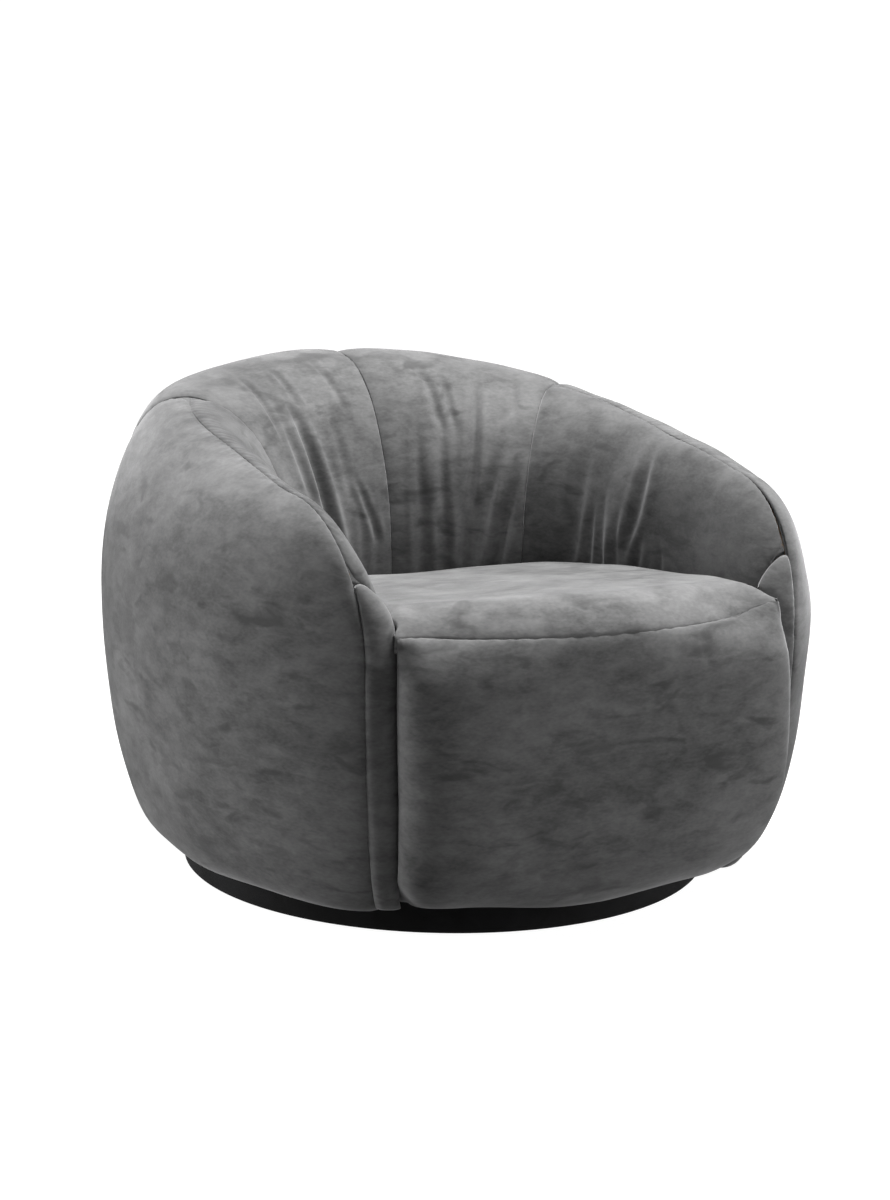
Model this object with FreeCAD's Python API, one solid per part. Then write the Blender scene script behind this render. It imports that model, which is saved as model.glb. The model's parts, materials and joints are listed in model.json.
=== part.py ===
import FreeCAD, Part
import math
import os

from FreeCAD import Vector

# Swivel tub chair: round upholstered body on a low round plinth.
# -Y is the front, +X the side on the right of someone who faces the chair, +Z is up.
# The origin lies on the floor, on the swivel axis. All sizes are in millimetres.
# A wrap angle runs round the body from the middle of the back (0 degrees) to the arm fronts.

# Outer body at its widest height, a superellipse with its own reach each way
WAIST_HEIGHT = 399.0
WAIST_SIDE = 488.0
WAIST_BACK = 570.0
WAIST_FRONT = 545.0
WAIST_POWER = 2.4

# Hem, where the covers tuck under the body
HEM_HEIGHT = 50.0
HEM_SIDE = 418.0
HEM_BACK = 408.0
HEM_FRONT = 445.0
HEM_POWER = 2.2
HEM_TUCK = 22.0

# Swell of the outer face: powers of its rise and of its reach
LOWER_RISE = 1.81
LOWER_REACH = 2.16
ARM_RISE = 1.68
ARM_REACH = 1.81
BACK_RISE = 2.72
BACK_REACH = 2.84
BACK_ENDS = 35.0
ARM_BEGINS = 65.0

# Rim, the top line of the back and the arms
RIM_SIDE = 343.0
RIM_BACK = 426.0
RIM_POWER = 3.0
RIM_SLOPE = 0.13
RIM_CROWN = 24.0
RIM_TAPER_START = -200.0
RIM_TAPER_POWER = 1.2
RIM_TURN_DEPTH = -240.0
RIM_TURN_HEIGHT = 609.0
ARM_FRONT_X = 318.0
ARM_FRONT_DEPTH = -452.0
ARM_FRONT_HEIGHT = 404.0
MITRE_DEPTH = -418.0

# Bowl, the inner face of the back and the arms
BOWL_SIDE = 245.0
BOWL_BACK = 205.0
BOWL_POWER = 1.8
BOWL_ARM_X = 275.0
BOWL_ARM_FLARE = 110.0
BOWL_HEIGHT = 384.0
BOWL_FRONT_RISE = 66.0
BOWL_FOOT = 345.0

# Covers and their seams
COVER = 12.0
SEAM_SINK = 7.0
SEAM_ROLL = 30.0
SEAM_GAP_ANGLE = 0.06
SEAM_ROLL_ANGLE = 3.5
RADIAL_SEAM = 48.0
FIT_GAP = 0.3

# Strip that closes the arm front
STRIP_WIDTH = 43.0
STRIP_HEM_WIDTH = 32.0
STRIP_TURN = 20.0
STRIP_LEAN = 4.0
STRIP_CROWN = 3.0
STRIP_MITRE_CROWN = 6.0
STRIP_MITRE_DROP = 41.0
STRIP_BEVEL = 0.1

# Seat
SEAT_CROWN_HEIGHT = 460.0
SEAT_CROWN_DEPTH = -130.0
SEAT_CROWN_RADIUS = 3800.0
SEAT_SEAM_RADIUS = 540.0
SEAT_SEAM_NOSE = -502.0
SEAT_SIDE_GAP = 0.6
SEAT_EDGE_ROLL = 10.0
SEAT_CORNER_X = 256.0
SEAT_CORNER_STEP = -420.0
SEAT_FOAM_FOOT = 341.7
FRONT_TOP = 436.5
FRONT_TOP_DIP = 3.2
FRONT_TOP_ROLL = 3.8
FRONT_TURN_IN = 6.0
FRONT_NOSE_REACH = 540.0
FRONT_NOSE_HEIGHT = 275.0
FRONT_HEM_REACH = 438.0
FRONT_ARC = 0.48
ARC_REACH = 0.88
CORNER_ROLL = 21.0
CORNER_SETBACK = 7.0
STRIP_CLEARANCE = 2.0
FRONT_GAP = 2.5
FRONT_RETURN = 13.0

# Plinth
PLINTH_RADIUS = 390.0
PLINTH_HEIGHT = 46.0
PLINTH_BOARD = 12.0
PLINTH_WALL = 8.0
PLINTH_CLOTH = 1.6
PLINTH_LIP = 30.0
STRUT_COUNT = 6
STRUT_THICKNESS = 18.0
STRUT_START = 60.0
GLIDE_HEIGHT = 5.0
GLIDE_RADIUS = 19.0
GLIDE_EDGE = 1.5
GLIDE_CIRCLE = 325.0
GLIDE_COUNT = 6

# Swivel
PLATE_RADIUS = 150.0
PLATE_THICKNESS = 4.0
RACE_RADIUS = 118.0
RACE_DEPTH = 1.5
BALL_COUNT = 12
RUNNING_FIT = 0.06
CAGE_THICKNESS = 2.6
CAGE_WIDTH = 20.0
PIVOT_RADIUS = 6.0
PIVOT_HEAD_RADIUS = 11.0
PIVOT_HEAD_HEIGHT = 6.0
PIVOT_END = 3.0
BUSH_RADIUS = 9.0
BUSH_STAND = 2.0
WASHER_RADIUS = 14.0
WASHER_THICKNESS = 2.0
NUT_HEIGHT = 9.0
PIVOT_HOLE_RADIUS = 22.0
PLATE_SCREW_CIRCLE = 136.0
PLATE_SCREW_RADIUS = 4.0
PLATE_SCREW_COUNT = 4
SCREW_HEAD_RADIUS = 7.5
SCREW_HEAD_HEIGHT = 2.5
SCREW_LENGTH = 9.0

# Frame
BOARD = 18.0
BOARD_INSET = 14.0
DUST_CLOTH = 2.0
DUST_CLOTH_INSET = 26.0
DUST_CLOTH_HOLE = 160.0
RAIL = 18.0
SEAT_BOX_HALF = 254.0
SEAT_BOX_FRONT = -396.0
SEAT_BOX_BACK = 130.0
RAIL_TOP = 334.0
CORNER_BLOCK = 60.0
CORNER_BLOCK_HEIGHT = 50.0
FORMER = 15.0
FORMER_LOW = 165.0
FORMER_HIGH = 300.0
FORMER_CLEARANCE = 5.0
FRONT_FOAM = 20.0
FRONT_FOAM_GAP = 1.0
FRONT_FOAM_FOOT = 84.0
FRONT_FOAM_TOP = 395.0
FOAM = 24.0
FOAM_SETBACK = 0.15
SEAT_FOAM_GAP = 3.0
SHELL_BOARD = 3.0
RIB = 18.0
RIB_BAND = 50.0
RIB_CLEARANCE = 4.5
BACK_RIB_ANGLE = 30.0
REAR_ARM_RIB_ANGLE = 68.0
FRONT_ARM_RIB_DEPTH = -130.0
POST_DEPTH = -376.0
POST_CLEARANCE = 30.0
WAIST_RAIL_WIDTH = 42.0
TOP_RAIL_WIDTH = 30.0
TOP_RAIL_DEPTH = 18.0
TOP_RAIL_END_WIDTH = 11.0
TOP_RAIL_SETBACK = 2.0

# Seat springs
SPRING_WIRE = 4.0
SPRING_COUNT = 4
SPRING_PITCH = 116.0
SPRING_SWING = 26.0
SPRING_BENDS = 9
SPRING_ARCH = 1.7
CLIP_LENGTH = 34.0
CLIP_WIDTH = 15.0
CLIP_STEEL = 1.5

QUARTER = 90.0
HALF_TURN = 180.0
FULL_TURN = 360.0
BOARD_FOOT = HEM_HEIGHT + COVER + FIT_GAP
BOARD_TOP = BOARD_FOOT + BOARD
LOWER_PLATE_TOP = PLINTH_HEIGHT + PLATE_THICKNESS
UPPER_PLATE_FOOT = BOARD_FOOT - PLATE_THICKNESS
PLATE_GAP = UPPER_PLATE_FOOT - LOWER_PLATE_TOP
BALL_RADIUS = PLATE_GAP / 2 + RACE_DEPTH - RUNNING_FIT
BALL_HEIGHT = LOWER_PLATE_TOP + PLATE_GAP / 2
WASHER_FOOT = BOARD_FOOT + BUSH_STAND + RUNNING_FIT
NUT_FOOT = WASHER_FOOT + WASHER_THICKNESS
ARM_END_ANGLE = math.degrees(math.atan2(ARM_FRONT_X, ARM_FRONT_DEPTH))
FOAM_FACE = COVER + FIT_GAP
FOAM_BACK = FOAM_FACE + FOAM
FRAME_INSIDE = FOAM_BACK + RIB_CLEARANCE
SHELL_FACE = COVER + FIT_GAP
SHELL_BACK = SHELL_FACE + SHELL_BOARD
FRAME_OUTSIDE = SHELL_BACK + RIB_CLEARANCE
CLIP_FLAP_FOOT = RAIL_TOP + CLIP_STEEL + SPRING_WIRE + 2 * RUNNING_FIT
DOWN, UP, INWARD = (0.0, -1.0), (0.0, 1.0), (-1.0, 0.0)
FAR = 1000.0


def sine(angle):
    return math.sin(math.radians(angle))


def cosine(angle):
    return math.cos(math.radians(angle))


def mix(first, last, share):
    return first + (last - first) * share


def spread(first, last, count):
    return [mix(first, last, index / (count - 1)) for index in range(count)]


def around(count, radius, start=0.0):
    turns = [start + FULL_TURN * index / count for index in range(count)]
    return [Vector(radius * cosine(turn), radius * sine(turn), 0) for turn in turns]


def mirrored(shape):
    return shape.mirror(Vector(0, 0, 0), Vector(1, 0, 0))


def disc(radius, foot, top, centre=Vector(0, 0, 0)):
    return Part.makeCylinder(radius, top - foot, centre + Vector(0, 0, foot))


def ring(outer, inner, foot, top):
    return disc(outer, foot, top).cut(disc(inner, foot, top))


def block(x_range, y_range, z_range):
    corner = Vector(x_range[0], y_range[0], z_range[0])
    far = Vector(x_range[1], y_range[1], z_range[1])
    size = far - corner
    return Part.makeBox(size.x, size.y, size.z, corner)


def polygon_wire(points):
    return Part.makePolygon(points + [points[0]])


def prism(points, travel):
    return Part.Face(polygon_wire(points)).extrude(travel)


def hexagon(radius, foot, top):
    corners = [corner + Vector(0, 0, foot) for corner in around(6, radius)]
    return prism(corners, Vector(0, 0, top - foot))


def revolved(pairs):
    points = [Vector(radius, 0, height) for radius, height in pairs]
    return Part.Face(polygon_wire(points)).revolve(Vector(0, 0, 0), Vector(0, 0, 1), FULL_TURN)


# Plan and rim of the outer body

def plan_radius(angle, side, back, front, power):
    end = back if cosine(angle) > 0 else front
    return (abs(sine(angle) / side) ** power + abs(cosine(angle) / end) ** power) ** (-1 / power)


def waist_radius(angle):
    return plan_radius(angle, WAIST_SIDE, WAIST_BACK, WAIST_FRONT, WAIST_POWER)


def hem_radius(angle):
    return plan_radius(angle, HEM_SIDE, HEM_BACK, HEM_FRONT, HEM_POWER)


def plan_point(angle, radius, height=0.0):
    return Vector(radius * sine(angle), radius * cosine(angle), height)


def rim_x(depth):
    taper = (RIM_TAPER_START - depth) / (RIM_TAPER_START - ARM_FRONT_DEPTH)
    return mix(RIM_SIDE, ARM_FRONT_X, min(max(taper, 0.0), 1.0) ** RIM_TAPER_POWER)


def rim_height(depth):
    if depth > RIM_TURN_DEPTH:
        return RIM_TURN_HEIGHT + RIM_SLOPE * (depth - RIM_TURN_DEPTH)
    turn = (depth - RIM_TURN_DEPTH) / (ARM_FRONT_DEPTH - RIM_TURN_DEPTH)
    return mix(ARM_FRONT_HEIGHT, RIM_TURN_HEIGHT, math.sqrt(max(1 - turn ** 2, 0.0)))


def bisected(first, last, passed):
    """Value between first and last where the test turns true."""
    for _ in range(40):
        middle = (first + last) / 2
        if passed(middle):
            last = middle
        else:
            first = middle
    return first


def rim_point(angle):
    """Radius and height of the rim at a wrap angle."""
    if angle <= QUARTER:
        radius = plan_radius(angle, RIM_SIDE, RIM_BACK, RIM_BACK, RIM_POWER)
        crown = RIM_CROWN * cosine(QUARTER * min(abs(angle) / RADIAL_SEAM, 1.0)) ** 2
        return radius, rim_height(radius * cosine(angle)) + crown
    depth = bisected(0.0, ARM_FRONT_DEPTH,
                     lambda y: math.degrees(math.atan2(rim_x(y), y)) >= angle)
    return math.hypot(rim_x(depth), depth), rim_height(depth)


def lower_profile(angle, count):
    """Radius and height pairs of the outer face from the hem to the waist."""
    hem, waist = hem_radius(angle), waist_radius(angle)
    pairs = []
    for turn in spread(0, QUARTER, count):
        rise = 1 - max(cosine(turn), 0.0) ** (2 / LOWER_RISE)
        reach = sine(turn) ** (2 / LOWER_REACH)
        pairs.append((mix(hem, waist, reach), mix(HEM_HEIGHT, WAIST_HEIGHT, rise)))
    return pairs


def upper_profile(angle, count):
    """Radius and height pairs of the outer face from the waist to the rim."""
    share = min(max((abs(angle) - BACK_ENDS) / (ARM_BEGINS - BACK_ENDS), 0.0), 1.0)
    share = share * share * (3 - 2 * share)
    rise, reach = mix(BACK_RISE, ARM_RISE, share), mix(BACK_REACH, ARM_REACH, share)
    rim, top = rim_point(angle)
    waist = waist_radius(angle)
    pairs = []
    for turn in spread(0, QUARTER, count):
        pairs.append((mix(rim, waist, max(cosine(turn), 0.0) ** (2 / reach)),
                      mix(WAIST_HEIGHT, top, sine(turn) ** (2 / rise))))
    return pairs


def outer_profile(angle, lower_count=7, upper_count=7):
    return lower_profile(angle, lower_count) + upper_profile(angle, upper_count)[1:]


def outer_at_depth(depth, lower_count, upper_count):
    """The outer face cut straight across an arm."""
    pairs = []
    for row in range(lower_count + upper_count - 1):
        def passed(angle):
            return outer_profile(angle, lower_count, upper_count)[row][0] * cosine(angle) < depth
        angle = bisected(QUARTER, ARM_END_ANGLE, passed)
        radius, height = outer_profile(angle, lower_count, upper_count)[row]
        pairs.append((radius * sine(angle), height))
    return pairs


# Bowl, in upright planes that turn about the axis round the back and lie across the arms

def station_at_angle(angle):
    rim, top = rim_point(angle)
    bowl = plan_radius(angle, BOWL_SIDE, BOWL_BACK, BOWL_BACK, BOWL_POWER)
    return {"origin": Vector(0, 0, 0), "way": plan_point(angle, 1.0),
            "rim": rim, "top": top, "bowl": bowl, "foot": BOWL_HEIGHT}


def bowl_x(depth):
    return mix(BOWL_SIDE, BOWL_ARM_X, 1 - math.exp(-(depth / BOWL_ARM_FLARE) ** 2))


def station_at_depth(depth):
    rise = BOWL_FRONT_RISE * (depth / MITRE_DEPTH) ** 3
    return {"origin": Vector(0, depth, 0), "way": Vector(1, 0, 0), "rim": rim_x(depth),
            "top": rim_height(depth), "bowl": bowl_x(depth), "foot": BOWL_HEIGHT + rise}


def drawn_in_bowl(station, depth=0.0, count=8):
    """Reach and height pairs of the inner face, drawn into the wall by a depth."""
    across = station["rim"] - station["bowl"] - depth
    tall = station["top"] - station["foot"] - depth
    pairs = [(station["rim"] - across * sine(turn), station["foot"] + tall * cosine(turn))
             for turn in spread(0, QUARTER, count)]
    return pairs + [(station["bowl"] + depth, BOWL_FOOT)]


# Sections and the solids through them

def outward(pairs, first, last):
    """Unit normals of a profile, to its right as it is walked."""
    normals = [first]
    for before, after in zip(pairs, pairs[2:]):
        reach, rise = after[0] - before[0], after[1] - before[1]
        length = math.hypot(reach, rise)
        normals.append((rise / length, -reach / length))
    return normals + [last]


def drawn_in(pairs, first, last, depths):
    normals = outward(pairs, first, last)
    return [(pair[0] - normal[0] * depth, pair[1] - normal[1] * depth)
            for pair, normal, depth in zip(pairs, normals, depths)]


def inset(pairs, first, last, depth):
    return drawn_in(pairs, first, last, [depth] * len(pairs))


def placed(pairs, station):
    return [station["origin"] + station["way"] * reach + Vector(0, 0, height) for reach, height in pairs]


def seam_roll(pairs):
    """Share of the seam's sink at each point, full at the start of the profile."""
    walked = [0.0]
    for before, after in zip(pairs, pairs[1:]):
        walked.append(walked[-1] + math.hypot(after[0] - before[0], after[1] - before[1]))
    return [math.exp(-(step / SEAM_ROLL) ** 2) for step in walked]


def cover_section(pairs, station, first, last, rolls):
    """Face and back points of a cover's section, the face drawn in at its seams."""
    face = drawn_in(pairs, first, last, [SEAM_SINK * roll for roll in rolls])
    return placed(face, station), placed(inset(pairs, first, last, COVER), station)


def facet(*corners):
    return Part.Face(polygon_wire(list(corners)))


def facets_between(first, second, turned=False):
    """Facets between two rows of points. Turned ones meet on the other diagonal."""
    faces = []
    for index in range(len(first) - 1):
        near, next_near, far, next_far = *first[index:index + 2], *second[index:index + 2]
        faces.append(facet(near, far, next_near if turned else next_far))
        faces.append(facet(far if turned else near, next_far, next_near))
    return faces


def closed_solid(faces):
    solid = Part.Solid(Part.Shell(faces))
    if solid.Volume < 0:
        solid.reverse()
    return solid


def net_solid(sections):
    """Solid through sections, each a face row and a back row of points, in plane facets.

    Facets on the left mirror those on the right.
    """
    faces = facets_between(*sections[0]) + facets_between(*sections[-1])
    for (face, back), (next_face, next_back) in zip(sections, sections[1:]):
        left = all(point.x < 0 for point in face + back + next_face + next_back)
        faces += facets_between(face, next_face, left)
        faces += facets_between(back, next_back, left)
        faces += facets_between([face[0], next_face[0]], [back[0], next_back[0]], left)
        faces += facets_between([face[-1], next_face[-1]], [back[-1], next_back[-1]], left)
    return closed_solid(faces)


# Back and arm covers

def back_angles():
    return spread(SEAM_ROLL_ANGLE, RADIAL_SEAM - SEAM_ROLL_ANGLE, 7)


def back_cover():
    sections = []
    seams = (SEAM_GAP_ANGLE, RADIAL_SEAM - SEAM_GAP_ANGLE)
    for angle in [seams[0]] + back_angles() + [seams[1]]:
        station = station_at_angle(angle)
        tuck = [(hem_radius(angle) - HEM_TUCK, HEM_HEIGHT)]
        pairs = tuck + outer_profile(angle) + drawn_in_bowl(station)[1:]
        roll = 1.0 if angle in seams else 0.0
        sections.append(cover_section(pairs, station, DOWN, INWARD, [roll] * len(pairs)))
    return net_solid(sections)


def side_angles():
    """Wrap angles of the outer arm panel, closer where it turns to the front."""
    first, last = RADIAL_SEAM + SEAM_ROLL_ANGLE, ARM_END_ANGLE - SEAM_ROLL_ANGLE
    turn_start = mix(first, last, 0.8)
    edge = [ARM_END_ANGLE - SEAM_ROLL_ANGLE / 2, ARM_END_ANGLE - SEAM_ROLL_ANGLE / 4]
    return spread(first, turn_start, 9) + spread(turn_start, last, 5)[1:] + edge


def side_cover():
    sections = []
    seams = (RADIAL_SEAM + SEAM_GAP_ANGLE, ARM_END_ANGLE - SEAM_GAP_ANGLE)
    for angle in [seams[0]] + side_angles() + [seams[1]]:
        pairs = [(hem_radius(angle) - HEM_TUCK, HEM_HEIGHT)] + outer_profile(angle)
        rolls = [1.0] * len(pairs) if angle in seams else seam_roll(pairs[::-1])[::-1]
        station = {"origin": Vector(0, 0, 0), "way": plan_point(angle, 1.0)}
        sections.append(cover_section(pairs, station, DOWN, UP, rolls))
    return net_solid(sections)


def arm_stations():
    """Stations of the inner arm between its seams."""
    angles = spread(RADIAL_SEAM + SEAM_ROLL_ANGLE, QUARTER, 5)
    depths = spread(0.0, MITRE_DEPTH + SEAM_ROLL / 2, 10)[1:]
    return [station_at_angle(angle) for angle in angles] + [station_at_depth(depth) for depth in depths]


def arm_cover():
    sections = []
    seams = [station_at_angle(RADIAL_SEAM + SEAM_GAP_ANGLE), station_at_depth(MITRE_DEPTH)]
    for station in seams[:1] + arm_stations() + seams[1:]:
        pairs = drawn_in_bowl(station)
        pairs[0] = (pairs[0][0] - 2 * FIT_GAP, pairs[0][1])
        rolls = [1.0] * len(pairs) if station in seams else seam_roll(pairs)
        sections.append(cover_section(pairs, station, UP, INWARD, rolls))
    return net_solid(sections)


# Strip that closes the front of the arm

def strip_edges(height):
    """Outer and inner edge of the strip below the arm's turn, and its way across."""
    share = (height - HEM_HEIGHT) / (ARM_FRONT_HEIGHT - HEM_HEIGHT)
    rise = min((height - HEM_HEIGHT) / (WAIST_HEIGHT - HEM_HEIGHT), 1.0)
    swell = (1 - (1 - rise) ** LOWER_RISE) ** (1 / LOWER_REACH)
    radius = mix(hem_radius(ARM_END_ANGLE), waist_radius(ARM_END_ANGLE), swell)
    outer = plan_point(ARM_END_ANGLE, radius, height)
    width = mix(STRIP_HEM_WIDTH, STRIP_WIDTH, min(2 * share, 1.0))
    lean = STRIP_LEAN + STRIP_TURN * (1 - share) ** 2
    across = Vector(-cosine(lean), -sine(lean), 0)
    return outer, outer + across * width, across


def crowned_row(outer, inner, out, crown):
    """Points across the strip, raised to a crown between its seams."""
    return [outer + (inner - outer) * share + out * (4 * crown * share * (1 - share))
            for share in spread(0, 1, 7)]


def strip_section(outer, inner, out, crown):
    bevelled = outer + (inner - outer) * STRIP_BEVEL
    back = [point - out * COVER for point in crowned_row(bevelled, inner, out, 0.0)]
    return crowned_row(outer, inner, out, crown), back


def strip_low_section(height):
    outer, inner, across = strip_edges(height)
    return strip_section(outer, inner, Vector(-across.y, across.x, 0), STRIP_CROWN)


def strip_turn_section(turn, start):
    """Section in a plane through the line at the back of the arm's front roll."""
    out = Vector(0, -sine(turn), cosine(turn))
    half_long, half_high = ARM_FRONT_DEPTH - RIM_TURN_DEPTH, RIM_TURN_HEIGHT - ARM_FRONT_HEIGHT
    offset = (start - RIM_TURN_DEPTH) / half_long
    slope = -sine(turn) / half_long
    square = slope ** 2 + (cosine(turn) / half_high) ** 2
    reach = (-offset * slope + math.sqrt((offset * slope) ** 2 - square * (offset ** 2 - 1))) / square
    foot = Vector(0, start, ARM_FRONT_HEIGHT)
    outer = foot + out * reach
    outer.x = rim_x(outer.y)
    drop = rim_height(MITRE_DEPTH) - STRIP_MITRE_DROP - ARM_FRONT_HEIGHT
    inner_end = strip_edges(ARM_FRONT_HEIGHT)[1]
    inner = foot + out / math.hypot(sine(turn) / (start - inner_end.y), cosine(turn) / drop)
    inner.x = inner_end.x
    return strip_section(outer, inner, out, STRIP_CROWN + STRIP_MITRE_CROWN * cosine(turn))


def strip_heights():
    rises = [1 - cosine(turn) for turn in spread(0, QUARTER, 12)]
    return [mix(HEM_HEIGHT, ARM_FRONT_HEIGHT, rise) for rise in rises][-2::-1]


def arm_front_strip():
    start = MITRE_DEPTH - 2 * FIT_GAP
    sections = [strip_turn_section(turn, start) for turn in spread(0, QUARTER, 7)]
    return net_solid(sections + [strip_low_section(height) for height in strip_heights()])


# Seat top and its foam

def seat_half_width(depth, gap, front_gap):
    """Half width of the seat's plan, inside the bowl, the front border and the front seam."""
    centre = SEAT_SEAM_NOSE + SEAT_SEAM_RADIUS
    arc = math.sqrt(max((SEAT_SEAM_RADIUS - front_gap) ** 2 - (depth - centre) ** 2, 0.0))
    if depth < SEAT_CORNER_STEP:
        return min(arc, SEAT_CORNER_X)
    if depth <= 0:
        return bowl_x(depth) - gap
    reach = max(1 - (depth / (BOWL_BACK - gap)) ** BOWL_POWER, 0.0)
    return (BOWL_SIDE - gap) * reach ** (1 / BOWL_POWER)


def crown_height(x, depth):
    away = x ** 2 + (depth - SEAT_CROWN_DEPTH) ** 2
    return SEAT_CROWN_HEIGHT - away / (2 * SEAT_CROWN_RADIUS)


def seat_depths(front_gap, gap):
    """Depths of the seat's cross sections, closer along the front arc and at the back."""
    radius = SEAT_SEAM_RADIUS - front_gap
    centre = SEAT_SEAM_NOSE + SEAT_SEAM_RADIUS
    arc = [centre - math.sqrt(radius ** 2 - half ** 2) for half in spread(18.0, SEAT_CORNER_X, 8)]
    step = [SEAT_CORNER_STEP - 1.5, SEAT_CORNER_STEP]
    middle = spread(SEAT_CORNER_STEP, 0.0, 8)[1:]
    back = [(BOWL_BACK - gap) * sine(turn) for turn in (12, 25, 38, 52, 66, 78, 86)]
    return arc + step + middle + back


def seat_layer(gap, front_gap, drop, foot=None, sink=0.0):
    """Slab under the seat's crown. Its foot is level, or one cover below its top."""
    sections = []
    for depth in seat_depths(front_gap, gap):
        half = seat_half_width(depth, gap, front_gap)
        top, under = [], []
        for turn in spread(-QUARTER, QUARTER, 11):
            x = half * sine(turn)
            edge = min(half - abs(x), BOWL_BACK - gap - depth)
            if depth < SEAT_CORNER_STEP:
                centre = SEAT_SEAM_NOSE + SEAT_SEAM_RADIUS
                edge = min(edge, SEAT_SEAM_RADIUS - front_gap - math.hypot(x, depth - centre))
            height = crown_height(x, depth) - drop
            top.append(Vector(x, depth, height - sink * math.exp(-(edge / SEAT_EDGE_ROLL) ** 2)))
            under.append(Vector(x, depth, height - COVER if foot is None else foot))
        sections.append((top, under))
    return net_solid(sections)


def seat_top_cover():
    return seat_layer(SEAT_SIDE_GAP, 0.0, 0.0, sink=SEAM_SINK)


def seat_foam():
    return seat_layer(SEAT_FOAM_GAP, COVER + FIT_GAP, COVER + FIT_GAP, foot=SEAT_FOAM_FOOT)


# Seat front, rolled at its corners over the arm-front strips

def front_nose(height):
    """How far the seat front stands out in the middle."""
    seam = FIT_GAP - SEAT_SEAM_NOSE
    if height > FRONT_NOSE_HEIGHT:
        share = (height - FRONT_NOSE_HEIGHT) / (FRONT_TOP + FIT_GAP - FRONT_NOSE_HEIGHT)
        return mix(seam, FRONT_NOSE_REACH, math.sqrt(max(1 - share ** 2.6, 0.0)))
    share = (FRONT_NOSE_HEIGHT - height) / (FRONT_NOSE_HEIGHT - HEM_HEIGHT)
    return mix(FRONT_HEM_REACH, FRONT_NOSE_REACH, (1 - share ** 2.2) ** 0.62)


def corner_roll(height):
    share = max(FRONT_NOSE_HEIGHT - height, 0.0) / (FRONT_NOSE_HEIGHT - HEM_HEIGHT)
    return CORNER_ROLL + 6.0 * sine(HALF_TURN * share ** 1.3) - 12.0 * share ** 6


def front_corner(height):
    """Centre of the corner's roll, its radius and the side face beside the strip."""
    edge, across = strip_edges(min(height, ARM_FRONT_HEIGHT))[1:]
    roll = corner_roll(height)
    turn_in = max(height - ARM_FRONT_HEIGHT, 0.0) / (FRONT_TOP - ARM_FRONT_HEIGHT)
    share = turn_in ** FRONT_TURN_IN
    top_depth = SEAT_SEAM_NOSE + SEAT_SEAM_RADIUS - math.sqrt(SEAT_SEAM_RADIUS ** 2 - SEAT_CORNER_X ** 2)
    low = Vector(edge.x - CORNER_SETBACK, edge.y - STRIP_CLEARANCE - roll, 0)
    centre = low + (Vector(SEAT_CORNER_X, top_depth, 0) - low) * share
    side = mix(edge.x + COVER * across.y - FRONT_GAP, SEAT_CORNER_X + FRONT_TOP_ROLL, share)
    return centre, mix(roll, FRONT_TOP_ROLL, share), side


def arc_share(share):
    """Rise of the front arc from its nose, as a share of its rise at the corner."""
    return (1 - math.sqrt(1 - (FRONT_ARC * share) ** 2)) / (1 - math.sqrt(1 - FRONT_ARC ** 2))


def front_arc(height, depth_in, shares):
    """Points along the front face between its corners."""
    centre, roll, _ = front_corner(height)
    inner_roll = max(roll - depth_in, FIT_GAP)
    corner = centre + plan_point(172.0, inner_roll)
    nose = depth_in - front_nose(height)
    return [Vector(corner.x * share, nose + (corner.y - nose) * arc_share(abs(share)), height)
            for share in shares]


def front_row(height, depth_in):
    """Points of the seat front at a height: side, rolled corner, front arc and back again."""
    centre, roll, side = front_corner(height)
    inner_roll = max(roll - depth_in, FIT_GAP)
    start_turn = math.degrees(math.asin(min((side - centre.x) / roll, 1.0)))
    side_depth = centre.y + roll * cosine(start_turn)
    row = [Vector(side - depth_in, side_depth + FRONT_RETURN, height),
           Vector(side - depth_in, side_depth + 1.0, height)]
    row += [centre + plan_point(turn, inner_roll, height) for turn in spread(start_turn, 172.0, 8)]
    row += front_arc(height, depth_in, spread(ARC_REACH, 0, 8))
    dip = FRONT_TOP_DIP * max(height - ARM_FRONT_HEIGHT, 0.0) / (FRONT_TOP - ARM_FRONT_HEIGHT)
    row = [point - Vector(0, 0, dip * (point.x / SEAT_CORNER_X) ** 2) for point in row]
    return row + [Vector(-point.x, point.y, point.z) for point in row[-2::-1]]


def front_heights():
    low = [mix(HEM_HEIGHT, FRONT_NOSE_HEIGHT, 1 - cosine(turn)) for turn in spread(0, QUARTER, 10)]
    high = [mix(FRONT_NOSE_HEIGHT, FRONT_TOP, sine(turn)) for turn in spread(0, QUARTER, 11)]
    return low + high[1:]


def seat_front_cover():
    sections = []
    for height in front_heights():
        over_seat = height > ARM_FRONT_HEIGHT
        thickness = min(COVER, front_nose(height) + SEAT_SEAM_NOSE - FIT_GAP) if over_seat else COVER
        sections.append((front_row(height, 0.0), front_row(height, thickness)))
    return net_solid(sections)


def seat_front_foam():
    shares = spread(-ARC_REACH, ARC_REACH, 15)
    sections = []
    for height in front_heights():
        if height < FRONT_FOAM_FOOT or height > FRONT_FOAM_TOP:
            continue
        face = front_arc(height, COVER + FRONT_FOAM_GAP, shares)
        sections.append((face, [point + Vector(0, FRONT_FOAM, 0) for point in face]))
    return net_solid(sections)


# Foams and boards behind the covers

def foam_section(station):
    face = inset(drawn_in_bowl(station), UP, INWARD, FOAM_FACE)
    back = drawn_in_bowl(station, FOAM_BACK)
    for row in (face, back):
        row[0] = tuple(mix(crest, following, FOAM_SETBACK) for crest, following in zip(*row[:2]))
    return placed(face, station), placed(back, station)


def whole_back_angles():
    half = [SEAM_GAP_ANGLE] + back_angles() + [RADIAL_SEAM - FIT_GAP]
    return [-angle for angle in half[::-1]] + half


def back_foam():
    return net_solid([foam_section(station_at_angle(angle)) for angle in whole_back_angles()])


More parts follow.
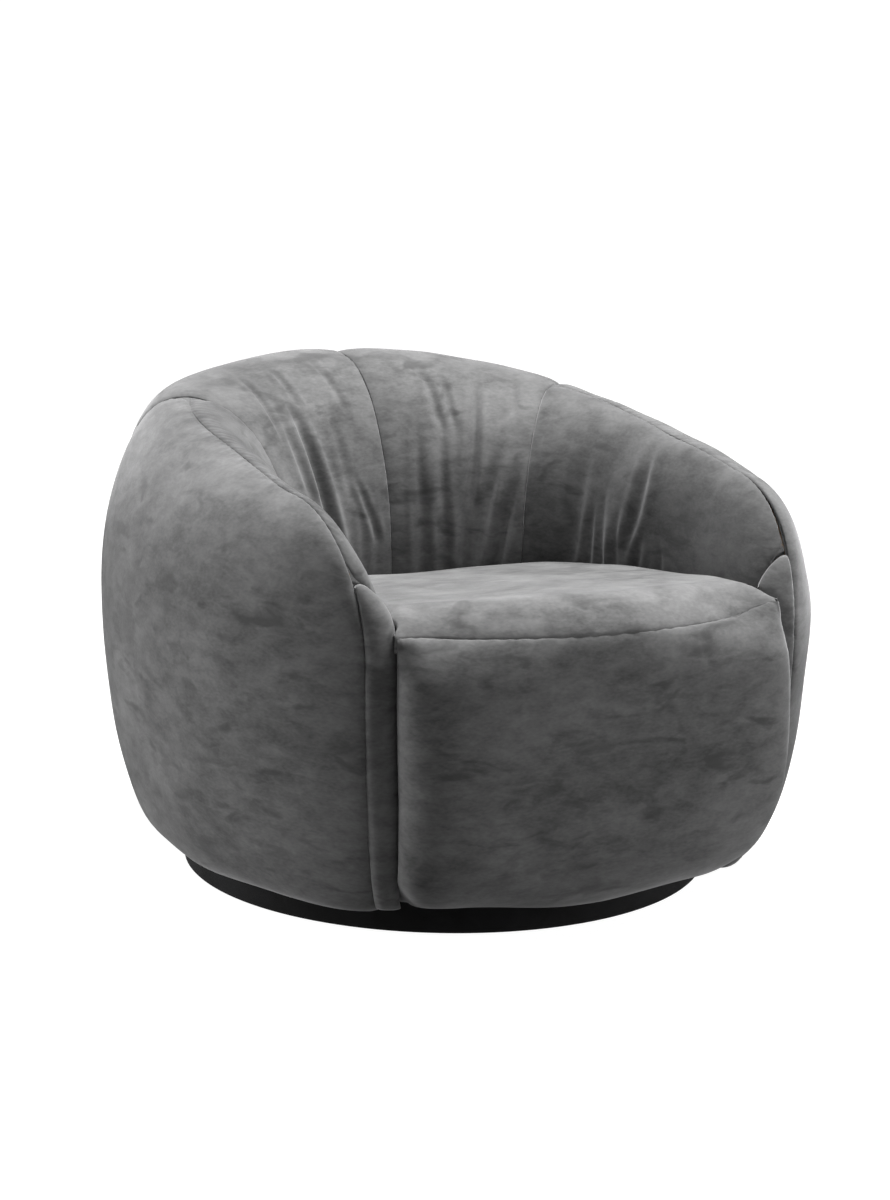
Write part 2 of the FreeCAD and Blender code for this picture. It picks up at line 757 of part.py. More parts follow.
def arm_foam():
    stations = [station_at_angle(RADIAL_SEAM + FIT_GAP)] + arm_stations()[:-1]
    return net_solid([foam_section(station) for station in stations])


def shell_section(angle):
    pairs = outer_profile(angle)
    station = {"origin": Vector(0, 0, 0), "way": plan_point(angle, 1.0)}
    face = inset(pairs, DOWN, UP, SHELL_FACE)[1:-1]
    return placed(face, station), placed(inset(pairs, DOWN, UP, SHELL_BACK)[1:-1], station)


def back_board():
    return net_solid([shell_section(angle) for angle in whole_back_angles()])


def side_board():
    angles = [RADIAL_SEAM + FIT_GAP] + side_angles()[:-2]
    return net_solid([shell_section(angle) for angle in angles])


# Plinth

def glide_pads():
    pad = revolved([(0, 0), (GLIDE_RADIUS - GLIDE_EDGE, 0), (GLIDE_RADIUS, GLIDE_EDGE),
                    (GLIDE_RADIUS, GLIDE_HEIGHT), (0, GLIDE_HEIGHT)])
    return Part.makeCompound([pad.translated(centre) for centre in
                              [Vector(0, 0, 0)] + around(GLIDE_COUNT, GLIDE_CIRCLE)])


def plinth_board_radius():
    return PLINTH_RADIUS - PLINTH_CLOTH - FIT_GAP


def plinth_bottom_board():
    return disc(plinth_board_radius(), GLIDE_HEIGHT, GLIDE_HEIGHT + PLINTH_BOARD)


def plinth_wall():
    radius = plinth_board_radius()
    return ring(radius, radius - PLINTH_WALL, GLIDE_HEIGHT + PLINTH_BOARD, PLINTH_HEIGHT - PLINTH_BOARD)


def plinth_struts():
    end = plinth_board_radius() - PLINTH_WALL - FIT_GAP
    strut = block((STRUT_START, end), (-STRUT_THICKNESS / 2, STRUT_THICKNESS / 2),
                  (GLIDE_HEIGHT + PLINTH_BOARD, PLINTH_HEIGHT - PLINTH_BOARD))
    turns = [FULL_TURN * index / STRUT_COUNT for index in range(STRUT_COUNT)]
    return Part.makeCompound([strut.rotated(Vector(0, 0, 0), Vector(0, 0, 1), turn) for turn in turns])


def plinth_top_board():
    board = disc(plinth_board_radius(), PLINTH_HEIGHT - PLINTH_BOARD, PLINTH_HEIGHT)
    pocket = disc(PIVOT_HEAD_RADIUS + FIT_GAP, PLINTH_HEIGHT - PIVOT_HEAD_HEIGHT - FIT_GAP, PLINTH_HEIGHT)
    board = board.cut(pocket)
    for centre in around(PLATE_SCREW_COUNT, PLATE_SCREW_CIRCLE):
        foot = LOWER_PLATE_TOP - SCREW_LENGTH - FIT_GAP
        board = board.cut(disc(PLATE_SCREW_RADIUS + RUNNING_FIT, foot, PLINTH_HEIGHT, centre))
    return board


def plinth_cover():
    inside, lip = PLINTH_RADIUS - PLINTH_CLOTH, PLINTH_RADIUS - PLINTH_LIP
    foot, top = GLIDE_HEIGHT - PLINTH_CLOTH, PLINTH_HEIGHT + PLINTH_CLOTH
    return revolved([(lip, foot), (inside, foot), (PLINTH_RADIUS, GLIDE_HEIGHT),
                     (PLINTH_RADIUS, PLINTH_HEIGHT), (inside, top), (lip, top), (lip, PLINTH_HEIGHT),
                     (inside, PLINTH_HEIGHT), (inside, GLIDE_HEIGHT), (lip, GLIDE_HEIGHT)])


# Swivel bearing

def race():
    return Part.makeTorus(RACE_RADIUS, BALL_RADIUS + RUNNING_FIT, Vector(0, 0, BALL_HEIGHT))


def screw_holes(foot, top):
    return [disc(PLATE_SCREW_RADIUS + RUNNING_FIT, foot, top, centre)
            for centre in around(PLATE_SCREW_COUNT, PLATE_SCREW_CIRCLE)]


def swivel_lower_plate():
    plate = ring(PLATE_RADIUS, PIVOT_RADIUS + RUNNING_FIT, PLINTH_HEIGHT, LOWER_PLATE_TOP)
    return plate.cut(race()).cut(screw_holes(PLINTH_HEIGHT, LOWER_PLATE_TOP))


def swivel_upper_plate():
    plate = ring(PLATE_RADIUS, BUSH_RADIUS + RUNNING_FIT, UPPER_PLATE_FOOT, BOARD_FOOT)
    return plate.cut(race()).cut(screw_holes(UPPER_PLATE_FOOT, BOARD_FOOT))


def lower_plate_screws():
    foot = LOWER_PLATE_TOP - SCREW_LENGTH
    screws = []
    for centre in around(PLATE_SCREW_COUNT, PLATE_SCREW_CIRCLE):
        head = disc(SCREW_HEAD_RADIUS, LOWER_PLATE_TOP, LOWER_PLATE_TOP + SCREW_HEAD_HEIGHT, centre)
        screws.append(head.fuse(disc(PLATE_SCREW_RADIUS, foot, LOWER_PLATE_TOP, centre)).removeSplitter())
    return Part.makeCompound(screws)


def upper_plate_screws():
    top = UPPER_PLATE_FOOT + PLATE_THICKNESS + SCREW_LENGTH
    screws = []
    for centre in around(PLATE_SCREW_COUNT, PLATE_SCREW_CIRCLE):
        head = disc(SCREW_HEAD_RADIUS, UPPER_PLATE_FOOT - SCREW_HEAD_HEIGHT, UPPER_PLATE_FOOT, centre)
        screws.append(head.fuse(disc(PLATE_SCREW_RADIUS, UPPER_PLATE_FOOT, top, centre)).removeSplitter())
    return Part.makeCompound(screws)


def ball_centres():
    return [centre + Vector(0, 0, BALL_HEIGHT) for centre in around(BALL_COUNT, RACE_RADIUS)]


def ball_cage():
    foot, top = BALL_HEIGHT - CAGE_THICKNESS / 2, BALL_HEIGHT + CAGE_THICKNESS / 2
    cage = ring(RACE_RADIUS + CAGE_WIDTH / 2, RACE_RADIUS - CAGE_WIDTH / 2, foot, top)
    pockets = [disc(BALL_RADIUS + RUNNING_FIT, foot, top, centre)
               for centre in around(BALL_COUNT, RACE_RADIUS)]
    return cage.cut(pockets)


def bearing_balls():
    return Part.makeCompound([Part.makeSphere(BALL_RADIUS, centre) for centre in ball_centres()])


def pivot_bolt():
    head = hexagon(PIVOT_HEAD_RADIUS, PLINTH_HEIGHT - PIVOT_HEAD_HEIGHT, PLINTH_HEIGHT)
    shank = disc(PIVOT_RADIUS, PLINTH_HEIGHT, NUT_FOOT + NUT_HEIGHT + PIVOT_END)
    return head.fuse(shank).removeSplitter()


def pivot_bush():
    return ring(BUSH_RADIUS, PIVOT_RADIUS + RUNNING_FIT, UPPER_PLATE_FOOT - BUSH_STAND,
                BOARD_FOOT + BUSH_STAND)


def pivot_washer():
    return ring(WASHER_RADIUS, PIVOT_RADIUS + RUNNING_FIT, WASHER_FOOT, NUT_FOOT)


def pivot_nut():
    nut = hexagon(PIVOT_HEAD_RADIUS, NUT_FOOT, NUT_FOOT + NUT_HEIGHT)
    return nut.cut(disc(PIVOT_RADIUS + RUNNING_FIT, NUT_FOOT, NUT_FOOT + NUT_HEIGHT))


# Bottom board and seat box

def hem_slab(depth_in, foot, top):
    """Level slab that follows the hem's plan."""
    points = [plan_point(turn, hem_radius(turn) - depth_in, foot) for turn in spread(-175, 180, 72)]
    return prism(points, Vector(0, 0, top - foot))


def bottom_board():
    board = hem_slab(BOARD_INSET, BOARD_FOOT, BOARD_TOP).cut(disc(PIVOT_HOLE_RADIUS, BOARD_FOOT, BOARD_TOP))
    return board.cut(screw_holes(BOARD_FOOT, BOARD_FOOT + SCREW_LENGTH + FIT_GAP))


def dust_cover():
    cloth = hem_slab(DUST_CLOTH_INSET, BOARD_FOOT - DUST_CLOTH, BOARD_FOOT)
    return cloth.cut(disc(DUST_CLOTH_HOLE, BOARD_FOOT - DUST_CLOTH, BOARD_FOOT))


def seat_side_rail():
    return block((SEAT_BOX_HALF - RAIL, SEAT_BOX_HALF), (SEAT_BOX_FRONT, SEAT_BOX_BACK),
                 (BOARD_TOP, RAIL_TOP))


def cross_rail(front):
    half = SEAT_BOX_HALF - RAIL
    return block((-half, half), (front, front + RAIL), (BOARD_TOP, RAIL_TOP))


def seat_front_rail():
    return cross_rail(SEAT_BOX_FRONT)


def seat_back_rail():
    return cross_rail(SEAT_BOX_BACK - RAIL)


def seat_corner_blocks():
    half, foot = SEAT_BOX_HALF - RAIL, RAIL_TOP - CORNER_BLOCK_HEIGHT
    blocks = []
    for depth, way in ((SEAT_BOX_FRONT + RAIL, 1), (SEAT_BOX_BACK - RAIL, -1)):
        corner = Vector(half, depth, foot)
        points = [corner, corner - Vector(CORNER_BLOCK, 0, 0), corner + Vector(0, way * CORNER_BLOCK, 0)]
        wedge = prism(points, Vector(0, 0, CORNER_BLOCK_HEIGHT))
        blocks += [wedge, mirrored(wedge)]
    return Part.makeCompound(blocks)


def front_former(foot):
    """Shaped shelf that carries the seat front."""
    shares = spread(-ARC_REACH, ARC_REACH, 15)
    rows = [front_arc(height, COVER + FRONT_FOAM_GAP, shares) for height in (foot, foot + FORMER)]
    back = FRONT_FOAM + FORMER_CLEARANCE
    front = [Vector(low.x, max(low.y, high.y) + back, foot) for low, high in zip(*rows)]
    ends = [Vector(front[-1].x, SEAT_BOX_FRONT, foot), Vector(front[0].x, SEAT_BOX_FRONT, foot)]
    return prism(front + ends, Vector(0, 0, FORMER))


def front_former_lower():
    return front_former(FORMER_LOW)


def front_former_upper():
    return front_former(FORMER_HIGH)


# Upright frame

def rail_angles():
    half = back_angles() + side_angles()[:-2]
    return [-angle for angle in half[::-1]] + half


def waist_rail():
    """Plywood hoop at the widest height, open at the front."""
    foot = WAIST_HEIGHT - BOARD / 2
    outer = [plan_point(angle, waist_radius(angle) - FRAME_OUTSIDE, foot) for angle in rail_angles()]
    inner = [plan_point(angle, waist_radius(angle) - FRAME_OUTSIDE - WAIST_RAIL_WIDTH, foot)
             for angle in rail_angles()]
    hoop = prism(outer + inner[::-1], Vector(0, 0, BOARD))
    return hoop.common(block((-FAR, FAR), (POST_DEPTH + RIB / 2, FAR), (0, FAR)))


def top_rail():
    """Beam that follows the rim under its padding."""
    stations = [station_at_angle(angle) for angle in spread(0, QUARTER, 9)]
    stations += [station_at_depth(depth) for depth in
                 (-60.0, -120.0, -180.0, -240.0, -280.0, -320.0, -350.0, POST_DEPTH + RIB / 2)]
    right = []
    for station in stations:
        taper = max(RIM_TURN_DEPTH - station["origin"].y, 0.0) / (RIM_TURN_DEPTH - POST_DEPTH)
        inner = station["rim"] - TOP_RAIL_SETBACK
        edges = [inner, inner + mix(TOP_RAIL_WIDTH, TOP_RAIL_END_WIDTH, math.sqrt(taper))]
        top = station["top"] - FRAME_INSIDE
        right.append((placed([(edge, top) for edge in edges], station),
                      placed([(edge, top - TOP_RAIL_DEPTH) for edge in edges], station)))
    left = [tuple([Vector(-point.x, point.y, point.z) for point in row] for row in section)
            for section in right[:0:-1]]
    return net_solid(left + right)


def reach_at(pairs, height):
    for before, after in zip(pairs, pairs[1:]):
        if before[1] <= height <= after[1]:
            return mix(before[0], after[0], (height - before[1]) / (after[1] - before[1]))
    return pairs[-1][0]


def upright_prism(pairs):
    points = [Vector(reach, -RIB / 2, height) for reach, height in pairs]
    return prism(points, Vector(0, RIB, 0))


def upright_plate(outer_pairs, station, clearance):
    """Plate across the wall of the body, in the XZ plane."""
    shell = inset(outer_pairs, DOWN, UP, clearance)
    blank = upright_prism([(0.0, shell[0][1])] + shell + [(0.0, shell[-1][1])])
    inner = drawn_in_bowl(station, FRAME_INSIDE, 6)[-2::-1]
    ledge = SEAT_FOAM_FOOT - FIT_GAP
    low = [(0.0, ledge), (station["bowl"] + FRAME_INSIDE, ledge)]
    hollow = upright_prism(low + inner + [(FAR, inner[-1][1]), (FAR, FAR), (0.0, FAR)])
    return blank.cut(hollow).common(block((0, FAR), (-FAR, FAR), (BOARD_TOP, FAR)))


def rib_window(outer_pairs, station, clearance):
    """Opening in a rib below the waist rail."""
    shell = inset(outer_pairs, DOWN, UP, clearance + RIB_BAND)
    inner = station["bowl"] + FRAME_INSIDE
    heights = spread(BOARD_TOP + RIB_BAND, WAIST_HEIGHT - RIB_BAND, 4)
    outer = [(reach_at(shell, height), height) for height in heights]
    return upright_prism(outer + [(inner, heights[-1]), (inner, heights[0])])


def fitted(plate):
    """Cut a standing plate for the seat box and the two hoops."""
    half, back = SEAT_BOX_HALF, SEAT_BOX_BACK
    seat_box = block((-half, half), (-FAR, back), (0, BOWL_FOOT))
    return plate.cut([seat_box, waist_rail(), top_rail()])


def back_rib(angle):
    outer, station = outer_profile(angle, 5, 5), station_at_angle(angle)
    plate = upright_plate(outer, station, FRAME_OUTSIDE).cut(rib_window(outer, station, FRAME_OUTSIDE))
    return fitted(plate.rotated(Vector(0, 0, 0), Vector(0, 0, 1), QUARTER - angle))


def back_rib_centre():
    return back_rib(0.0)


def back_rib_side():
    return back_rib(BACK_RIB_ANGLE)


def arm_rib_rear():
    return back_rib(REAR_ARM_RIB_ANGLE)


def arm_rib_front():
    outer = outer_at_depth(FRONT_ARM_RIB_DEPTH, 5, 5)
    station = station_at_depth(FRONT_ARM_RIB_DEPTH)
    plate = upright_plate(outer, station, FRAME_OUTSIDE).cut(rib_window(outer, station, FRAME_OUTSIDE))
    return fitted(plate.translated(Vector(0, FRONT_ARM_RIB_DEPTH, 0)))


def arm_front_post():
    outer = outer_at_depth(POST_DEPTH, 5, 5)
    plate = upright_plate(outer, station_at_depth(POST_DEPTH), POST_CLEARANCE)
    return fitted(plate.translated(Vector(0, POST_DEPTH, 0)))


# Springs and their clips

def spring_lines():
    half = SPRING_PITCH * (SPRING_COUNT - 1) / 2
    return spread(-half, half, SPRING_COUNT)


def spring_path(x):
    """Middle line of a sinuous spring, arched up between its clips."""
    start, end = SEAT_BOX_FRONT + RAIL / 2, SEAT_BOX_BACK - RAIL / 2
    pitch = (end - start) / SPRING_BENDS
    rise = RAIL_TOP + CLIP_STEEL + SPRING_WIRE / 2 + RUNNING_FIT
    points = []
    for bend in range(SPRING_BENDS + 1):
        way = 1 if bend % 2 else -1
        depth, corner = start + bend * pitch, pitch / 4
        points += [(-way * (SPRING_SWING - corner), depth), (way * (SPRING_SWING - corner), depth),
                   (way * SPRING_SWING, depth + corner), (way * SPRING_SWING, depth + pitch - corner)]
    path = []
    for across, depth in points[:-2]:
        share = (depth - start) / (end - start)
        path.append(Vector(x + across, depth, rise + 4 * SPRING_ARCH * share * (1 - share)))
    return path


def wire_rings(path):
    """Six-sided rings along a wire, each in the plane that halves the bend."""
    rings = []
    for index, point in enumerate(path):
        ahead = (path[min(index + 1, len(path) - 1)] - point)
        behind = (point - path[max(index - 1, 0)])
        ahead = ahead if ahead.Length else behind
        behind = behind if behind.Length else ahead
        ahead, behind = Vector(ahead.x, ahead.y, 0).normalize(), Vector(behind.x, behind.y, 0).normalize()
        along = (ahead + behind).normalize()
        side = Vector(along.y, -along.x, 0) / along.dot(ahead)
        radius = SPRING_WIRE / 2
        rings.append([point + side * (radius * cosine(turn)) + Vector(0, 0, radius * sine(turn))
                      for turn in spread(0, FULL_TURN, 7)])
    return rings


def wire_solid(path):
    rings = wire_rings(path)
    faces = [facet(*rings[0][:-1]), facet(*rings[-1][:-1])]
    for near, far in zip(rings, rings[1:]):
        faces += facets_between(near, far)
    return closed_solid(faces)


def seat_springs():
    return Part.makeCompound([wire_solid(spring_path(x)) for x in spring_lines()])


def spring_clip(x, middle, way):
    """Folded steel clip, open towards the seat, over the end bar of a spring."""
    half = CLIP_LENGTH / 2
    back = middle + way * CLIP_WIDTH / 2
    profile = [(-way * CLIP_WIDTH, RAIL_TOP), (0, RAIL_TOP), (0, CLIP_FLAP_FOOT + CLIP_STEEL),
               (-way * CLIP_WIDTH, CLIP_FLAP_FOOT + CLIP_STEEL), (-way * CLIP_WIDTH, CLIP_FLAP_FOOT),
               (-way * CLIP_STEEL, CLIP_FLAP_FOOT), (-way * CLIP_STEEL, RAIL_TOP + CLIP_STEEL),
               (-way * CLIP_WIDTH, RAIL_TOP + CLIP_STEEL)]
    points = [Vector(x - half, back + depth, height) for depth, height in profile]
    return prism(points, Vector(CLIP_LENGTH, 0, 0))


def spring_clips():
    front, back = SEAT_BOX_FRONT + RAIL / 2, SEAT_BOX_BACK - RAIL / 2
    clips = []
    for x in spring_lines():
        clips += [spring_clip(x, front, -1), spring_clip(x, back, 1)]
    return Part.makeCompound(clips)


SINGLE_PIECES = (glide_pads, plinth_bottom_board, plinth_wall, plinth_struts, plinth_top_board,
                 plinth_cover, swivel_lower_plate, lower_plate_screws, pivot_bolt, pivot_washer,
                 pivot_nut, ball_cage, bearing_balls, swivel_upper_plate, pivot_bush,
                 upper_plate_screws, bottom_board, dust_cover, seat_front_rail, seat_back_rail,
                 seat_corner_blocks, front_former_lower, front_former_upper, waist_rail, top_rail,
                 back_rib_centre, spring_clips, seat_springs, seat_foam, seat_front_foam, back_foam,
                 back_board, seat_top_cover, seat_front_cover)
SIDED_PIECES = (seat_side_rail, back_rib_side, arm_rib_rear, arm_rib_front, arm_front_post, arm_foam,
                side_board, back_cover, side_cover, arm_cover, arm_front_strip)


def save(shape, name):
    shape.exportStep("parts/" + name + ".step")


def main():
    os.makedirs("parts", exist_ok=True)
    for build in SINGLE_PIECES:
        save(build(), build.__name__)
    for build in SIDED_PIECES:
        right = build()
        save(right, build.__name__ + "_right")
        save(mirrored(right), build.__name__ + "_left")


main()
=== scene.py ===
import json
import math

import bmesh
import bpy
import numpy as np
from mathutils import Matrix, Vector

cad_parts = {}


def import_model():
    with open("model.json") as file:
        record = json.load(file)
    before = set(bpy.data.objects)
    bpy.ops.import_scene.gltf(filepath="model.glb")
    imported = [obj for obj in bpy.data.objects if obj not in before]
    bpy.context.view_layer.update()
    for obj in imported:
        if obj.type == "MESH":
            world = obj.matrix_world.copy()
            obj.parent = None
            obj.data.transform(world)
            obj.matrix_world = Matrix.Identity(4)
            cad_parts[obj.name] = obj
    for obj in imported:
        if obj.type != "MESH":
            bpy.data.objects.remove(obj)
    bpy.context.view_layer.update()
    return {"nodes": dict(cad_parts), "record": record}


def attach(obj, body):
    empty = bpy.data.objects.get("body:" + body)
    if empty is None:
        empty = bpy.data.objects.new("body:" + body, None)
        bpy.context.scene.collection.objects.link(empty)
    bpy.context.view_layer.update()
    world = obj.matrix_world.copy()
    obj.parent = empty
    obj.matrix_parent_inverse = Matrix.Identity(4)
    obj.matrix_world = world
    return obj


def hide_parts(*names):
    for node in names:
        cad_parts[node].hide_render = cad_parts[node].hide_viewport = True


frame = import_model()

# Sizes in millimetres and angles in degrees; the meshes are made in metres. Angles run from the back
# (0) over the side (90) to the front (180). The body, rim and bowl have the part's own sizes.
MM = 0.001
WAIST_HEIGHT, WAIST_SIDE, WAIST_BACK, WAIST_FRONT, WAIST_POWER = 399.0, 488.0, 570.0, 545.0, 2.4
HEM_HEIGHT, HEM_SIDE, HEM_BACK, HEM_FRONT, HEM_POWER, HEM_TUCK = 50.0, 418.0, 408.0, 445.0, 2.2, 22.0
LOWER_RISE, LOWER_REACH = 1.81, 2.16
ARM_RISE, ARM_REACH, BACK_RISE, BACK_REACH = 1.68, 1.81, 2.72, 2.84
BACK_ENDS, ARM_BEGINS = 35.0, 65.0
RIM_SIDE, RIM_BACK, RIM_POWER, RIM_SLOPE, RIM_CROWN = 343.0, 426.0, 3.0, 0.13, 24.0
RIM_TAPER_START, RIM_TAPER_POWER = -200.0, 1.2
RIM_TURN_DEPTH, RIM_TURN_HEIGHT = -240.0, 609.0
ARM_FRONT_X, ARM_FRONT_DEPTH, ARM_FRONT_HEIGHT, MITRE_DEPTH = 318.0, -452.0, 404.0, -418.0
BOWL_SIDE, BOWL_BACK, BOWL_POWER, BOWL_ARM_X, BOWL_ARM_FLARE = 245.0, 205.0, 1.8, 275.0, 110.0
BOWL_HEIGHT, BOWL_FRONT_RISE, BOWL_FOOT = 384.0, 66.0, 352.0
COVER, RADIAL_SEAM, SEAM_GAP_ANGLE = 10.0, 48.0, 0.05
STRIP_WIDTH, STRIP_HEM_WIDTH, STRIP_TURN, STRIP_LEAN = 43.0, 32.0, 20.0, 4.0
STRIP_CROWN, STRIP_MITRE_CROWN, STRIP_MITRE_DROP = 5.0, 5.0, 41.0
ARM_END_ANGLE = math.degrees(math.atan2(ARM_FRONT_X, ARM_FRONT_DEPTH))
QUARTER = math.pi / 2

# The back's side seams swing towards the front on their way down to the seat.
SEAM_SWING = 7.0

# The stuffed seat is pitched, and rounder and less even than the part's plain one.
SEAT_LEVEL, SEAT_PITCH, SEAT_HALF_WIDTH, SEAT_SIDE_GAP = 428.0, 0.115, 265.0, 1.0
SEAT_FRONT_CROWN, SEAT_CROWN_REACH = 5.0, 250.0
SEAT_REAR_DISH, SEAT_DISH_HALF, SEAT_DISH_START, SEAT_DISH_REACH = 12.0, 200.0, 20.0, 160.0
SEAT_FRONT_ROLL, SEAT_FRONT_ROLL_POWER = 82.0, 2.1
SEAT_SIDE_ROLL, SEAT_SIDE_DROP, SEAT_FLARE, SEAT_THICKNESS = 26.0, 14.0, 14.0, 20.0
SEAM_NOSE, SEAM_HEIGHT, SEAM_BOW, SEAM_BOW_POWER, SEAM_ARC_HALF = 518.0, 445.0, 56.0, 1.08, 238.0
SEAM_CORNER_DEPTH, SEAM_HALF, SEAM_RISE_RIGHT, SEAM_RISE_LEFT = -462.0, 284.0, 14.0, 4.0
SEAM_RISE_START, SEAM_RISE_REACH = 205.0, 75.0
SEAM_DIP, SEAM_DIP_WIDTH = 3.0, 5.0

# Front panel of the seat
FRONT_NOSE_REACH, FRONT_NOSE_HEIGHT, FRONT_HEM_REACH = 540.0, 275.0, 432.0
FRONT_UPPER_POWER, FRONT_LOWER_POWER, FRONT_LOWER_EASE, FRONT_POWER = 2.6, 2.2, 0.62, 2.8
FRONT_BULGE_LEFT, FRONT_BULGE_RIGHT, BULGE_HEIGHT = 5.0, 30.0, 215.0
BULGE_REACH_UP, BULGE_REACH_DOWN = 190.0, 105.0
FRONT_NARROWING, NARROWING_START, NARROWING_REACH = 16.0, 115.0, 65.0
FRONT_TUCK, TUCK_START, TUCK_REACH = 14.0, 130.0, 80.0
FRONT_AHEAD, GAP_INSIDE, GAP_BEHIND, GAP_DEPTH = 11.0, 3.0, 2.5, 8.0
FRONT_JOIN_HEIGHT, FRONT_JOIN_POWER, FRONT_JOIN_SHARE = 372.0, 1.6, 0.6
HEM_LIFT, HEM_LIFT_HEIGHT, HEM_LIFT_POWER = 13.0, 110.0, 1.5
HEM_LIFT_START, HEM_LIFT_REACH = 10.0, 160.0

# Lengths of the panels, which set how many points their grids have
BACK_PANEL_ACROSS, BACK_PANEL_ALONG = 470.0, 1180.0
SIDE_PANEL_ACROSS, SIDE_PANEL_ALONG = 1080.0, 760.0
ARM_TURN_LENGTH, ARM_STRAIGHT_LENGTH, ARM_PANEL_ALONG = 260.0, 418.0, 330.0
STRIP_ACROSS, SEAT_ALONG, FRONT_HALF_ACROSS = 46.0, 700.0, 345.0
FOLD_SPACING = 4.5


def mix(first, last, share):
    return first + (last - first) * share


def smooth(share):
    share = np.clip(share, 0.0, 1.0)
    return share * share * (3 - 2 * share)


# Plan, rim and profiles of the body

PROFILE_POINTS, SWUNG_POINTS, HALVINGS = 60, 40, 40


def plan_radius(angle, side, back, front, power):
    turn = math.radians(angle)
    end = back if math.cos(turn) > 0 else front
    return (abs(math.sin(turn) / side) ** power + abs(math.cos(turn) / end) ** power) ** (-1 / power)


def waist_radius(angle):
    return plan_radius(angle, WAIST_SIDE, WAIST_BACK, WAIST_FRONT, WAIST_POWER)


def hem_radius(angle):
    return plan_radius(angle, HEM_SIDE, HEM_BACK, HEM_FRONT, HEM_POWER)


def rim_x(depth):
    taper = (RIM_TAPER_START - depth) / (RIM_TAPER_START - ARM_FRONT_DEPTH)
    return mix(RIM_SIDE, ARM_FRONT_X, min(max(taper, 0.0), 1.0) ** RIM_TAPER_POWER)


def rim_height(depth):
    if depth > RIM_TURN_DEPTH:
        return RIM_TURN_HEIGHT + RIM_SLOPE * (depth - RIM_TURN_DEPTH)
    turn = (depth - RIM_TURN_DEPTH) / (ARM_FRONT_DEPTH - RIM_TURN_DEPTH)
    return mix(ARM_FRONT_HEIGHT, RIM_TURN_HEIGHT, math.sqrt(max(1 - turn ** 2, 0.0)))


def rim_point(angle):
    if angle <= 90:
        radius = plan_radius(angle, RIM_SIDE, RIM_BACK, RIM_BACK, RIM_POWER)
        crown = RIM_CROWN * math.cos(QUARTER * min(angle / RADIAL_SEAM, 1.0)) ** 2
        return radius, rim_height(radius * math.cos(math.radians(angle))) + crown
    near, far = 0.0, ARM_FRONT_DEPTH
    for _ in range(HALVINGS):
        depth = (near + far) / 2
        if math.degrees(math.atan2(rim_x(depth), depth)) < angle:
            near = depth
        else:
            far = depth
    return math.hypot(rim_x(depth), depth), rim_height(depth)


def outer_profile(angle):
    """Reach and height of the outside, from the hem up to the rim."""
    turn = np.linspace(0, QUARTER, PROFILE_POINTS)
    sine, cosine = np.sin(turn), np.clip(np.cos(turn), 0, 1)
    hem, waist = hem_radius(angle), waist_radius(angle)
    rim, top = rim_point(angle)
    lower = np.stack([mix(hem, waist, sine ** (2 / LOWER_REACH)),
                      mix(HEM_HEIGHT, WAIST_HEIGHT, 1 - cosine ** (2 / LOWER_RISE))], 1)
    share = float(smooth((angle - BACK_ENDS) / (ARM_BEGINS - BACK_ENDS)))
    rise, reach = mix(BACK_RISE, ARM_RISE, share), mix(BACK_REACH, ARM_REACH, share)
    upper = np.stack([mix(rim, waist, cosine ** (2 / reach)),
                      mix(WAIST_HEIGHT, top, sine ** (2 / rise))], 1)
    return np.concatenate([[[hem - HEM_TUCK, HEM_HEIGHT]], lower, upper[1:]])


def bowl_x(depth):
    return mix(BOWL_SIDE, BOWL_ARM_X, 1 - math.exp(-(depth / BOWL_ARM_FLARE) ** 2))


def station_at_angle(angle):
    """Origin and direction in plan, then rim and bowl reach with their heights."""
    rim, top = rim_point(angle)
    turn = math.radians(angle)
    bowl = plan_radius(angle, BOWL_SIDE, BOWL_BACK, BOWL_BACK, BOWL_POWER)
    return (0.0, 0.0), (math.sin(turn), math.cos(turn)), rim, top, bowl, BOWL_HEIGHT


def station_at_depth(depth):
    rise = BOWL_FRONT_RISE * (depth / MITRE_DEPTH) ** 3
    return (0.0, depth), (1.0, 0.0), rim_x(depth), rim_height(depth), bowl_x(depth), BOWL_HEIGHT + rise


def bowl_profile(station):
    """Reach and height of the inside, from the rim down behind the seat."""
    _, _, rim, top, bowl, foot = station
    turn = np.linspace(0, QUARTER, PROFILE_POINTS)
    pairs = np.stack([mix(rim, bowl, np.sin(turn)), mix(foot, top, np.cos(turn))], 1)
    return np.concatenate([pairs, [[bowl, BOWL_FOOT]]])


def swung_line(angle, swing):
    """Inner line from an angle on the rim that swings towards the front on its way down."""
    points = []
    for share in np.linspace(0, 1, SWUNG_POINTS):
        station = station_at_angle(angle + swing * float(smooth(share)))
        _, _, rim, top, bowl, foot = station
        turn = QUARTER * share
        pair = np.array([[mix(rim, bowl, math.sin(turn)), mix(foot, top, math.cos(turn))]])
        points.append(placed(pair, station)[0])
    foot_point = points[-1].copy()
    foot_point[2] = BOWL_FOOT
    return np.array(points + [foot_point])


def placed(pairs, station):
    """Points in space from pairs of reach and height."""
    origin, way = station[:2]
    reach, height = pairs[:, 0], pairs[:, 1]
    return np.stack([origin[0] + way[0] * reach, origin[1] + way[1] * reach, height], 1)


# Grids of points

STEP_SAMPLES, EASED_POINTS, LUMP_WAVES = 2000, 400, 14
PUCKER_START, PUCKER_WANDER, PUCKER_KNOTS = 5, 0.8, 40
FOLD_START_WIDTH, RIDGE_PLACE, RIDGE_HEIGHT = 0.75, 1.7, 0.5
FOLD_FADE_IN, FOLD_FADE_END, FOLD_FADE_OUT = 0.45, 1.12, 0.25


